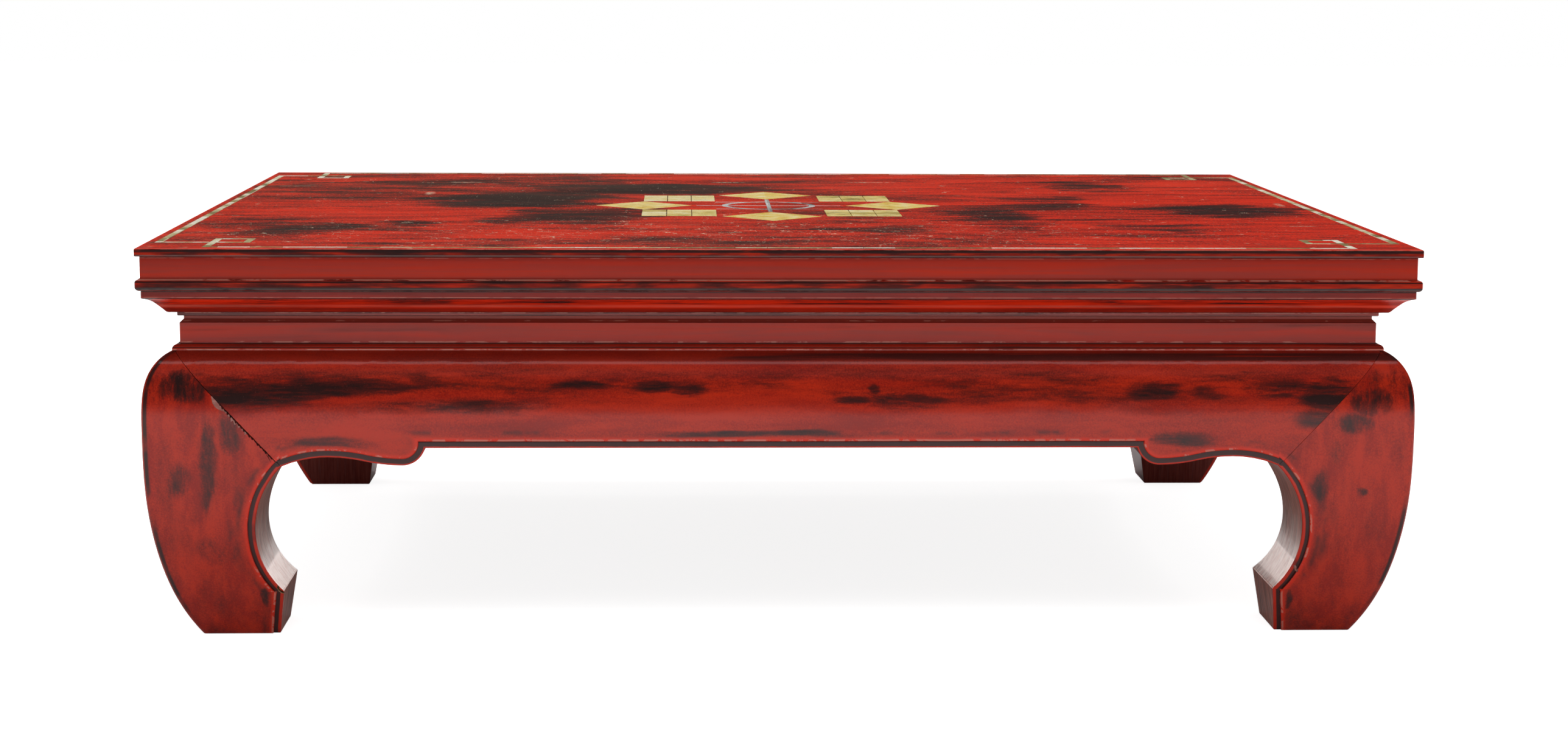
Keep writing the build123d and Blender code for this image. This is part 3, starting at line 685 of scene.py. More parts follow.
    def _moulded_edge(self) -> Signal:
        """Colour of the bands and the frieze.

        Returns:
            The colour.
        """
        place = self.place
        mottle = self.cloud((26.0, 26.0, 230.0), 4.0, 0.6)
        sway = self.cloud((2.2, 2.2, 1.0), 2.0)
        left = place.x.fade(0.46, -0.46) * place.on_front() * 0.09
        rubbing = mottle * 1.15 + sway * 0.5 + left + 0.07
        red = self.mix(self.cloud((18.0, 18.0, 300.0)).fade(-0.12, 0.15), LAYERS.red, LAYERS.deep)
        bands = self.layers(rubbing, red)
        nicks = self.cloud((55.0, 55.0, 160.0), 4.0, 0.62)
        patchy = (mottle + sway + 0.38).fade(0.0, 0.25)
        # The last of these lines, at the foot of the upper band, is painted shade in the gap beneath it
        black = strongest(
            self.band(self.frieze_top + 3.4, self.arris - 0.8, 0.35),
            self.line(self.frieze_bottom, -2.2, -1.1, 0.3),
            self.line(self.rail_bottom, 0.5, 2.9, 0.4),
            self.line(self.frieze_top, -0.1, 0.3) * 0.9,
        )
        bands = self.mix(black * patchy * 0.93, bands, LAYERS.black)
        # Painted reflection: grey stripes where the rounded lower edges of the bands would mirror the floor
        painted_reflection = strongest(
            self.line(self.frieze_top, 0.35, 1.4, 0.25),
            self.line(self.rail_bottom, 0.9, 2.1, 0.4),
        )
        bands = self.mix(painted_reflection * (nicks + sway).fade(-0.25, 0.05) * 0.8, bands, LAYERS.painted_reflection)

        mist = self.cloud((5.0, 5.0, 160.0), 4.0, 0.6)
        frieze = self.mix(mist.fade(-0.20, 0.16), LAYERS.red, LAYERS.dull)
        shade = self.millimetres.fade(self.frieze_bottom + 4.0, self.frieze_top)
        frieze = self.mix(shade * 0.45, frieze, LAYERS.deep)
        foot = self.millimetres.fade(self.frieze_bottom + 2.6, self.frieze_bottom + 0.8)
        frieze = self.mix(foot * 0.35, frieze, LAYERS.dark)
        colour = self.mix(self.band(self.frieze_bottom + 0.3, self.frieze_top - 0.2), bands, frieze)
        shadow = self.line(self.frieze_top, -0.7, -0.1)
        colour = self.mix(shadow * 0.75, colour, LAYERS.black)

        # Pale lines along the arrises: worn ground, and in part a painted highlight on each edge
        worn = strongest(
            self.line(self.frieze_bottom, -0.45, 0.30, 0.15) * nicks.fade(-0.12, 0.0),
            self.line(self.frieze_top, -1.4, -0.9) * nicks.fade(-0.02, 0.08) * 0.5,
            self.line(self.rail_bottom, -0.2, 0.35) * nicks.fade(-0.06, 0.06) * 0.55,
            self.line(self.arris, -0.8, 0.0) * nicks.fade(-0.14, 0.06) * 0.85,
        )
        return self.mix(worn * 0.85, colour, LAYERS.ground)

    def _bare_underside(self) -> Signal:
        """Colour of the thinly stained faces that face the floor."""
        grain = self.cloud((7.0, 130.0, 60.0), 5.0, 0.65)
        return self.mix(grain.fade(-0.2, 0.2), LAYERS.stain_deep, LAYERS.stain_pale)


class MouldingLacquer(Lacquer):
    """Finish of cornice, waist and bead. Levels are in millimetres above the floor."""

    gloss: Gloss = Gloss(specular=0.3)
    cornice_top: float = 267.9
    fillet: float = 262.2
    crest: float = 255.5
    lip: float = 249.8
    waist_top: float = 246.7
    bevel: float = 241.5
    waist_bottom: float = 225.5
    bead_bottom: float = 221.0
    hidden_inset: Point = (0.0325, 0.0330)

    def build(self) -> bpy.types.Material:
        """Builds the finish.

        Returns:
            The material.
        """
        nicks = self.cloud((60.0, 60.0, 170.0), 4.0, 0.62)
        above_waist = self.millimetres > self.waist_top
        colour = self.mix(above_waist, self._waist(nicks), self._cornice(nicks))
        colour = self.mix(self.millimetres < self.waist_bottom, colour, self._bead(nicks))
        hidden = self.place.depth.fade(*self.hidden_inset)
        colour = self.mix(hidden, colour, LAYERS.hidden)
        in_waist = self.band(self.waist_bottom, self.waist_top)
        curved = self.band(self.lip, self.cornice_top) * 0.32
        rough = 0.16 + in_waist * 0.14 + hidden * 0.4
        return self.polish(colour, rough, 0.42 - in_waist * 0.34 - curved)

    def _cornice(self, nicks: Signal) -> Signal:
        """Colour of the cornice.

        Args:
            nicks: Noise that breaks up the worn lines.

        Returns:
            The colour.
        """
        streak = self.cloud((10.0, 10.0, 300.0), 5.0, 0.65)
        patch = self.cloud((14.0, 14.0, 60.0), 3.0)
        fascia = self.mix(streak.fade(-0.2, 0.2) * 0.7, LAYERS.deep, LAYERS.dark)
        ogee = self.mix(streak.fade(-0.10, 0.18), LAYERS.bright, LAYERS.deep)
        # Painted highlight along the crest of the ogee, in the colour of the ground
        crest = self.line(self.crest, -0.9, 0.9, 0.9)
        ogee = self.mix(crest * (patch + 0.5) * 0.42, ogee, LAYERS.ground)
        # Painted shade: darker on the lower ogee, which faces down
        low = self.millimetres.fade(self.crest - 0.8, self.crest - 2.6)
        ogee = self.mix(low * 0.6, ogee, LAYERS.dark)
        smudges = (streak + patch + self.place.x.fade(0.2, -0.46) * 0.09).fade(0.08, 0.28)
        smudges = smudges * self.millimetres.fade(self.crest + 0.6, self.crest + 3.0)
        ogee = self.mix(smudges * 0.9, ogee, LAYERS.black)
        colour = self.mix(self.millimetres > self.fillet, ogee, fascia)
        lip = self.mix(streak.fade(-0.1, 0.15), LAYERS.dull, LAYERS.dark)
        colour = self.mix(self.millimetres < self.lip, colour, lip)
        # Dark lines at the steps; the one at the fillet is painted shadow in the gap there
        dark = strongest(
            self.line(self.fillet, -0.7, 0.35),
            self.line(self.lip, 0.0, 0.7),
            self.line(self.cornice_top, -0.9, 0.5),
            self.line(self.waist_top, -0.5, 0.45),
        )
        colour = self.mix(dark * 0.92, colour, LAYERS.black)
        worn = strongest(
            self.line(self.fillet, 0.65, 1.2) * (nicks.fade(-0.12, 0.05) * 0.5 + 0.25),
            self.line(self.lip, -0.9, -0.2) * nicks.fade(-0.06, 0.05),
        )
        return self.mix(worn * 0.75, colour, LAYERS.ground)

    def _waist(self, nicks: Signal) -> Signal:
        """Colour of the waist with its neck.

        Args:
            nicks: Noise that breaks up the worn lines.

        Returns:
            The colour.
        """
        mist = self.cloud((5.0, 5.0, 110.0), 5.0, 0.6)
        colour = self.mix(mist.fade(-0.16, 0.14), LAYERS.red, LAYERS.dull)
        colour = self.mix(abs(mist).fade(0.06, 0.24) * 0.6, colour, LAYERS.dark)
        shade = self.millimetres.fade(self.waist_bottom + 10.0, self.waist_bottom + 2.0)
        colour = self.mix(shade * 0.45, colour, LAYERS.deep)
        neck = self.band(self.bevel + 0.6, self.waist_top)
        colour = self.mix(neck * 0.6, colour, LAYERS.neck)
        dark = strongest(
            self.line(self.bevel, -0.1, 0.5) * 0.8,
            self.line(self.waist_bottom, -0.5, 0.6),
        )
        colour = self.mix(dark * 0.85, colour, LAYERS.black)
        worn = strongest(
            self.line(self.waist_bottom, 0.8, 1.8) * nicks.fade(-0.02, 0.08),
            self.line(self.bevel, 0.9, 1.7) * nicks.fade(0.06, 0.13),
        )
        return self.mix(worn * 0.65, colour, LAYERS.ground)

    def _bead(self, nicks: Signal) -> Signal:
        """Colour of the bead.

        Args:
            nicks: Noise that breaks up the worn lines.

        Returns:
            The colour.
        """
        streak = self.cloud((9.0, 9.0, 260.0), 5.0, 0.65)
        colour = self.layers(streak + 0.02, self.mix(0.3, LAYERS.red, LAYERS.deep))
        ledge = self.millimetres.fade(self.bead_bottom + 2.2, self.bead_bottom + 2.6)
        colour = self.mix(ledge * 0.55, colour, LAYERS.dark)
        dark = self.line(self.bead_bottom, 1.6, 2.3)
        colour = self.mix(dark * 0.9, colour, LAYERS.black)
        worn = self.line(self.bead_bottom, 0.3, 1.1) * nicks.fade(-0.04, 0.05)
        return self.mix(worn * 0.8, colour, LAYERS.ground)


class Grain(Enum):
    """Frequencies of the rubbed patches along X, Y and Z, per metre."""

    LONG = (5.0, 30.0, 34.0)
    SHORT = (30.0, 5.0, 34.0)
    UPRIGHT = (38.0, 38.0, 11.0)


class StandLacquer(Lacquer):
    """Finish of aprons or legs: rubbed face, bright roll with a painted highlight, black groove and lip, brown inner
    face with a painted reflection in front.

    Bands of wear and shade are in millimetres above the floor, insets in metres.
    """

    # Levels of a band high on the face that is rubbed darker
    darker_high_band: Point = (183.0, 207.0)
    shoulder: Point = (211.5, 216.0)
    # Levels of the painted shade just under the bead
    painted_shade_under_bead: Point = (214.5, 219.5)
    trail: Point = (58.0, 122.0)
    # Levels between which the lower legs darken towards the floor: painted shade
    painted_shade_at_foot: Point = (46.0, 8.0)
    cracked: Point = (42.0, 130.0)
    # Levels between which the inner faces take dust and a painted reflection
    dust_and_sheen_levels: Point = (114.0, 56.0)
    hoof_top: float = 37.5
    back_inset: Point = (0.0370, 0.0376)
    edge: OpeningEdge = OpeningEdge()
    face_reach: float = 0.0400
    face_profile: tuple[Point, ...] = (
        (0.0, 0.0385),
        (0.0295, 0.0222),
        (0.070, 0.0095),
        (0.114, 0.0030),
        (0.161, 0.0015),
        (0.187, 0.0022),
        (0.2045, 0.0064),
        (0.215, 0.0135),
        (0.221, 0.0226),
    )

    def __init__(self, name: str, grain: Grain, marks: tuple[RubMark, ...]) -> None:
        """Starts the finish of a piece with this grain, rubbed through at these marks."""
        super().__init__(name)
        self.grain, self.marks = grain, marks

    def build(self) -> bpy.types.Material:
        """Builds the finish.

        Returns:
            The material.
        """
        place = self.place
        wobble = self.cloud((60.0, 60.0, 60.0), 3.0)
        distance = self.edge.distance(place) + wobble * 0.0011
        face = self._moulded_edge(self._rubbed_face(), distance)
        behind = place.depth - self._face_inset()
        inner = behind.fade(0.0032, 0.0042) * distance.fade(0.0012, 0.0004)
        colour = self.mix(inner, face, self._inner_face())
        beyond_leg = (place.run > self.edge.spandrel[0]).at_least(place.level > self.edge.spandrel[1])
        back = place.depth.fade(*self.back_inset) * beyond_leg
        colour = self.mix(back, colour, LAYERS.shadow)
        colour = self.mix(self.millimetres.fade(0.5, 0.2), colour, LAYERS.sole)
        grain = self.cloud((420.0, 420.0, 26.0), 5.0, 0.7) + 0.5
        rough = 0.26 + inner * 0.14 + back * 0.3
        coat = 0.45 - inner * ((place.y > 0.0) * 0.16 + 0.17) - back * 0.4
        coat = coat * (1.0 - self.millimetres.fade(48.0, 8.0) * (1.0 - inner) * 0.6)
        return self.polish(colour, rough, coat, inner * grain)

    def _rubbed_face(self) -> Signal:
        """Colour of the outer face.

        Returns:
            The colour.
        """
        place, waves = self.place, self.grain.value
        across = place.x + self.cloud((13.0, 13.0, 26.0), 2.0) * 0.024
        up = place.level + self.cloud((12.0, 12.0, 40.0), 2.0) * 0.010
        marks = rubbed(self.marks, across, up) * place.on_front()
        broad = self.cloud(waves, 2.0)
        fine = self.cloud(tuple(wave * 3.2 for wave in waves), 5.0, 0.62)
        hair = self.cloud(tuple(wave * 13.0 for wave in waves), 3.0, 0.6)
        grit = self.cloud((900.0, 900.0, 900.0), 2.0)
        # More rubbing, so darker, in a band high on the face
        darker_high_band = self.band(*self.darker_high_band, 6.0) * (fine * 0.55 + hair * 0.35 + 0.17)
        rubbing = broad * 0.75 + fine * 0.50 + hair * 0.16 + grit * 0.30 + darker_high_band - 0.06
        rubbing = rubbing + marks * (fine * 0.75 + hair * 0.30 + 0.44)
        # Painted shade: darker towards the floor on the lower legs
        rubbing = rubbing + self.millimetres.fade(*self.painted_shade_at_foot) * 0.12
        tint = self.cloud(tuple(wave * 1.7 for wave in waves), 4.0, 0.6) + grit * 0.5
        red = self.mix(tint.fade(-0.16, 0.22), LAYERS.red, LAYERS.deep)
        colour = self.layers(rubbing, red, (-0.12, 0.42), (0.12, 0.72))
        shade = self.millimetres.fade(*self.shoulder)
        colour = self.mix(shade * 0.62, colour, LAYERS.dark)
        # Painted shade: black streaks just under the bead
        streak = self.cloud((4.0, 4.0, 260.0)) + self.cloud((3.0, 3.0, 1.0), 1.0)
        streak = streak.fade(-0.04, 0.10) * self.band(*self.painted_shade_under_bead, 0.8)
        colour = self.mix(streak * 0.8, colour, LAYERS.black)
        colour = self.mix(self.specks(560.0, 0.13, 0.24) * 0.22, colour, LAYERS.ground)

        arris = (abs(place.side_inset - place.front_inset).near(0.0028, 0.0026) * 1.7).at_most(1.0)
        arris = arris * self.cloud((24.0, 24.0, 24.0), 2.0).fade(-0.12, 0.05)
        return self.mix(arris * place.level.fade(0.010, 0.030) * 0.92, colour, LAYERS.black)

    def _moulded_edge(self, face: Signal, distance: Signal) -> Signal:
        """Adds the roll with its painted highlight, the groove and the lip along the opening.

        Args:
            face: Colour of the face.
            distance: Distance from the opening's edge.

        Returns:
            The colour.
        """
        place, lip = self.place, self.edge.lip
        # Painted highlight: brighter red along the roll beside the groove
        roll = distance.fade(lip + 0.0044, lip + 0.0014)
        face = self.mix(roll * 0.8, face, LAYERS.bright)
        halo = distance.near(lip + 0.0068, 0.0032) * self.cloud((40.0, 40.0, 40.0), 3.0).fade(-0.05, 0.12)
        face = self.mix(halo * 0.55, face, LAYERS.black)
        trail = distance.near(0.0165, 0.0070) * self.band(*self.trail, 16.0) * (place.run < self.edge.spandrel[0])
        trail = trail * self.cloud((50.0, 50.0, 22.0), 4.0, 0.6).fade(-0.14, 0.08) * place.on_front()
        face = self.mix(trail * 0.72, face, LAYERS.black)
        straight = (place.run > self.edge.cusp[0]) * 0.12 + (place.level < self.edge.hoof_tip[1]) * 0.12
        nicks = self.cloud((120.0, 120.0, 120.0), 4.0, 0.65) + straight
        worn = distance.near(lip + 0.0010, 0.0013) * nicks.fade(0.05, 0.11)
        face = self.mix(worn * 0.8, face, LAYERS.ground)
        groove = distance.fade(lip + 0.0004, lip - 0.0002)
        face = self.mix(groove * 0.95, face, LAYERS.black)
        reach = self.choose(place.level < self.edge.spandrel[1], 0.0012, 0.0023)
        rim = (distance - reach).fade(0.0004, -0.0004) * self.cloud((30.0, 30.0, 30.0), 3.0).fade(-0.30, -0.08)
        return self.mix(rim * 0.8, face, LAYERS.bright)

    def _inner_face(self) -> Signal:
        """Colour of the thinly lacquered faces inside the opening, pale in front above the hoof with dirt and a painted
        reflection.

        Returns:
            The colour.
        """
        place = self.place
        along = self.stretched(self.vector(place.depth, place.run, place.level), (420.0, 22.0, 22.0))
        grain = self.noise(along, 1.0, 5.0, 0.7) - 0.5
        colour = self.mix(grain.fade(-0.10, 0.16), LAYERS.inner, LAYERS.dark)
        # Silvery streaks along the grain: a painted reflection
        silver = self.noise(self.stretched(along, (1.7, 1.0, 1.0)), 1.0, 4.0, 0.7).fade(0.50, 0.66)
        colour = self.mix(silver * 0.20, colour, LAYERS.dust_and_sheen)
        # Dust above the hoof, in front, which also stands for a painted reflection of the surroundings
        hoof = self.millimetres.fade(*self.dust_and_sheen_levels) * (self.millimetres > self.hoof_top)
        dust_and_sheen = hoof * (grain * 0.6 + self.cloud((130.0, 130.0, 60.0), 4.0)).fade(0.30, -0.16)
        colour = self.mix(dust_and_sheen * 0.9, colour, LAYERS.dust_and_sheen)
        cracks = grain.fade(0.12, 0.18) * self.band(*self.cracked, 12.0)
        colour = self.mix(cracks * 0.9, colour, LAYERS.black)
        dark = place.run.fade(0.1040, 0.1070).at_least(place.y > 0.0)
        return self.mix(dark * 0.9, colour, LAYERS.shadow)

    def _face_inset(self) -> Signal:
        """Inset of the outer face at each level, from the profile of levels and insets.

        Returns:
            The inset in metres.
        """
        height, reach = SIZES.stand_top, self.face_reach
        stops = tuple((level / height, (inset / reach,) * 3 + (1.0,)) for level, inset in self.face_profile)
        return self.node("ShaderNodeValToRGB", {"stops": stops}, {0: self.place.level / height}) * reach


APRON_MARKS = rub_marks(
    (-0.392, 0.190, 0.050, 0.011),
    (-0.330, 0.196, 0.050, 0.006, 0.8),
    (-0.245, 0.181, 0.060, 0.006, 0.75),
    (-0.335, 0.154, 0.026, 0.0035, 0.85),
    (-0.150, 0.197, 0.018, 0.003),
    (-0.100, 0.196, 0.017, 0.004),
    (-0.070, 0.194, 0.014, 0.005, 0.75),
    (0.052, 0.184, 0.013, 0.003),
    (0.068, 0.194, 0.004, 0.004),
    (0.092, 0.183, 0.026, 0.006, 0.8),
    (-0.023, 0.1605, 0.082, 0.0028, 1.1),
    (0.279, 0.194, 0.016, 0.008, 0.6),
    (0.325, 0.191, 0.015, 0.005, 0.6),
    (0.378, 0.195, 0.024, 0.006, 0.9),
    (0.412, 0.188, 0.020, 0.012, 1.2),
    (0.402, 0.172, 0.014, 0.006, 0.9),
    (0.303, 0.157, 0.024, 0.005),
)
LEG_MARKS = rub_marks(
    (-0.443, 0.195, 0.016, 0.010),
    (-0.4305, 0.140, 0.006, 0.034, 0.8),
    (-0.4155, 0.162, 0.007, 0.014, 0.9),
    (-0.3925, 0.034, 0.0025, 0.008),
    (-0.4515, 0.125, 0.008, 0.012, 0.6),
    (-0.426, 0.072, 0.014, 0.010, 0.5),
    (0.446, 0.183, 0.014, 0.009),
    (0.433, 0.168, 0.014, 0.007, 0.9),
    (0.409, 0.120, 0.006, 0.010, 0.9),
    (0.439, 0.115, 0.003, 0.004),
    (0.3905, 0.029, 0.0022, 0.008),
    (0.416, 0.147, 0.006, 0.010, 0.6),
)


class ShellTint(Enum):
    """Tints of mother-of-pearl, from its deepest to its palest streaks."""

    GOLD = ((0.42, 0.23, 0.025, 1.0), (0.90, 0.62, 0.12, 1.0), (0.98, 0.90, 0.54, 1.0))
    OLIVE = ((0.32, 0.25, 0.070, 1.0), (0.84, 0.64, 0.19, 1.0), (0.96, 0.88, 0.56, 1.0))
    SILVER = ((0.09, 0.08, 0.075, 1.0), (0.36, 0.35, 0.34, 1.0), (0.82, 0.80, 0.77, 1.0))
    STRAW = ((0.26, 0.20, 0.080, 1.0), (0.62, 0.52, 0.26, 1.0), (0.95, 0.91, 0.76, 1.0))


@dataclass(frozen=True)
class Shell:
    """Finish of aged mother-of-pearl in small pieces, each with a tint of its own."""

    name: str
    tint: ShellTint
    pitch: Point
    start: Point
    spread: float = 0.30
    blush: Colour = (0.60, 0.75, 0.62, 1.0)
    crack: Colour = (0.16, 0.07, 0.03, 1.0)

    def build(self) -> bpy.types.Material:
        """Builds the finish.

        Returns:
            The material.
        """
        graph = Finish(self.name)
        place = graph.place
        column = graph.math("FLOOR", (abs(place.x) - self.start[0]) / self.pitch[0])
        row = graph.math("FLOOR", (abs(place.y) - self.start[1]) / self.pitch[1])
        quarter = (place.x > 0.0) + (place.y > 0.0) * 2.0
        chance = graph.node("ShaderNodeTexWhiteNoise", None, {"Vector": graph.vector(column, row, quarter)})
        streak = graph.noise(graph.stretched(place.position, (70.0, 420.0, 1.0)), 1.0, 5.0, 0.6, 0.9)
        cloud = graph.noise(place.position, 70.0, 3.0)
        pale = streak * 0.75 + cloud * 0.45 + chance * self.spread - (0.10 + self.spread / 2)
        deep, middle, light = self.tint.value
        stops = ((0.30, deep), (0.47, middle), (0.68, light))
        colour = graph.node("ShaderNodeValToRGB", {"stops": stops}, {0: pale})
        blush = graph.noise(graph.stretched(place.position, (120.0, 260.0, 1.0)), 1.0, 3.0).fade(0.56, 0.68)
        colour = graph.mix(blush * 0.30, colour, self.blush)
        cracks = graph.noise(graph.stretched(place.position, (40.0, 160.0, 1.0)), 1.0, 2.0)
        colour = graph.mix(abs(cracks - 0.5).fade(0.012, 0.003) * 0.55, colour, self.crack)
        sockets = {
            "Base Color": colour,
            "Roughness": 0.26,
            "Specular IOR Level": 0.2,
            "Normal": graph.bump(streak, 0.00004),
        }
        return graph.principled(sockets)


@dataclass(frozen=True)
class BrokenGround:
    """Finish of surfaces broken out of the lacquer, mottled between a deep and a pale colour."""

    name: str
    deep: Colour
    pale: Colour

    def build(self) -> bpy.types.Material:
        """Builds the finish.

        Returns:
            The material.
        """
        graph = Finish(self.name)
        cloud = graph.noise(graph.place.position, 320.0, 4.0, 0.6)
        colour, normal = graph.mix(cloud.fade(0.40, 0.60), self.deep, self.pale), graph.bump(cloud, 0.0002)
        sockets = {"Base Color": colour, "Roughness": 0.6, "Specular IOR Level": 0.2, "Normal": normal}
        return graph.principled(sockets)


@dataclass(frozen=True)
class BareWood:
    """Finish of the unlacquered battens and pegs."""

    def build(self) -> bpy.types.Material:
        """Builds the finish.

        Returns:
            The material.
        """
        graph = Finish("bare_wood")
        grain = graph.noise(graph.stretched(graph.place.position, (160.0, 9.0, 160.0)), 1.0, 5.0, 0.65, 0.5)
        colour, rough = graph.mix(grain, LAYERS.wood_deep, LAYERS.wood), grain * 0.2 + 0.55
        return graph.principled({"Base Color": colour, "Roughness": rough, "Normal": graph.bump(grain, 0.0002)})


# ---------------------------------------------------------------- the table
@dataclass(frozen=True)
class TableTop:
    """Boards, rails, battens and inlay of the top."""

    tile_pitch: float = 0.0213
    block_centre: Point = (0.078, 0.076)
    segment: float = 0.0240

    def dress(self) -> None:
        """Gives every piece of the top its finish."""
        tiles = (self.tile_pitch, self.tile_pitch)
        first_tile = (self.block_centre[0] - 1.5 * self.tile_pitch, self.block_centre[1] - 1.5 * self.tile_pitch)
        golden = Shell("shell_gold", ShellTint.GOLD, (0.5, 0.5), (0.0, 0.0), 0.1)
        olive = Shell("shell_olive", ShellTint.OLIVE, tiles, first_tile, 0.26)
        silver = Shell("shell_silver", ShellTint.SILVER, (0.03, 0.03), (0.0, 0.0))
        straw = Shell("shell_straw", ShellTint.STRAW, (self.segment, self.segment), (self.segment / 2, 0.0), 0.5)
        dress_all(("top_rail", "panel"), TopLacquer("rubbed_top").build())
        dress_all(("batten", "corner_pegs", "apron_pegs"), BareWood().build())
        dress_all("inlay_diamond", golden.build())
        dress_all("inlay_tiles", olive.build())
        dress_all(("inlay_ring", "inlay_bars"), silver.build())
        dress_all(("inlay_fret", "inlay_line"), straw.build())


class Mouldings:
    """Cornice, waist and bead."""

    def dress(self) -> None:
        """Gives the mouldings their finish."""
        dress_all(("cornice", "waist", "bead"), MouldingLacquer("rubbed_moulding").build())


class Stand:
    """Aprons and legs."""

    def dress(self) -> None:
        """Gives aprons and legs their finish, with the grain along each."""
        long_apron = StandLacquer("lacquer_apron_long", Grain.LONG, APRON_MARKS).build()
        short_apron = StandLacquer("lacquer_apron_short", Grain.SHORT, APRON_MARKS).build()
        leg = StandLacquer("lacquer_leg", Grain.UPRIGHT, LEG_MARKS).build()
        dress_all(("apron_front", "apron_rear"), long_apron)
        dress_all(("apron_left", "apron_right"), short_apron)
        dress_all("leg", leg)
        WornCorner().build(long_apron, leg)


def select(piece: bpy.types.Object) -> None:
    """Selects one piece alone and makes it active.

    Args:
        piece: The piece.
    """
    bpy.ops.object.select_all(action="DESELECT")
    piece.select_set(True)
    bpy.context.view_layer.objects.active = piece


def copy_of(name: str) -> bpy.types.Object:
    """Copies a CAD node into a merged, smoothly shaded piece that stands for it.

    Args:
        name: The node's name.

    Returns:
        The piece.
    """
    piece = bpy.data.objects.new(f"{name}_worn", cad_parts[name].data.copy())
    bpy.context.scene.collection.objects.link(piece)
    select(piece)
    bpy.ops.object.mode_set(mode="EDIT")
    bpy.ops.mesh.select_all(action="SELECT")
    bpy.ops.mesh.remove_doubles(threshold=MERGE_DISTANCE)
    bpy.ops.object.mode_set(mode="OBJECT")
    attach(piece, "root")
    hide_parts(name)
    return piece


def surface_of(name: str) -> BVHTree:
    """Returns the surface of a CAD node, ready to be probed."""
    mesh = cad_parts[name].data
    return BVHTree.FromPolygons([point.co for point in mesh.vertices], [tuple(face.vertices) for face in mesh.polygons])


def front_at(surfaces: list[BVHTree], across: float, up: float) -> float:
    """Finds the front of some pieces at a place, looking past the hairline between them.

    Args:
        surfaces: Surfaces of the pieces.
        across: The place along X.
        up: Its level.

    Returns:
        The front's place along Y.
    """
    found = []
    for surface in surfaces:
        for aside in (-HAIRLINE, 0.0, HAIRLINE):
            place = surface.ray_cast((across + aside, -1.0, up), (0.0, 1.0, 0.0))[0]
            found += [place.y] if place else []
    return min(found) if found else surfaces[0].find_nearest((across, -SIZES.half_depth, up))[0].y


@dataclass(frozen=True)
class Break:
    """A patch broken out of the front: its outline there, its depth and the finish inside it."""

    outline: tuple[Point, ...]
    depth: float
    inside: bpy.types.Material
    thickness: float = 0.008

    def cutter(self, surfaces: list[BVHTree]) -> bpy.types.Object:
        """Models the body that breaks the patch out.

        Args:
            surfaces: Surfaces of the pieces whose front the patch follows.

        Returns:
            The cutter.
        """
        bpy.ops.object.select_all(action="DESELECT")
        bpy.ops.mesh.primitive_circle_add(vertices=len(self.outline), radius=0.01, fill_type="NGON")
        cutter = bpy.context.object
        for vertex, (across, up) in zip(cutter.data.vertices, self.outline):
            vertex.co = (across, front_at(surfaces, across, up) + self.depth, up)
        cutter.data.materials.append(self.inside)
        bpy.ops.object.mode_set(mode="EDIT")
        bpy.ops.mesh.select_all(action="SELECT")
        bpy.ops.mesh.extrude_region_move(TRANSFORM_OT_translate={"value": (0.0, -self.thickness, 0.0)})
        bpy.ops.mesh.select_all(action="SELECT")
        bpy.ops.mesh.normals_make_consistent(inside=False)
        bpy.ops.object.mode_set(mode="OBJECT")
        return cutter


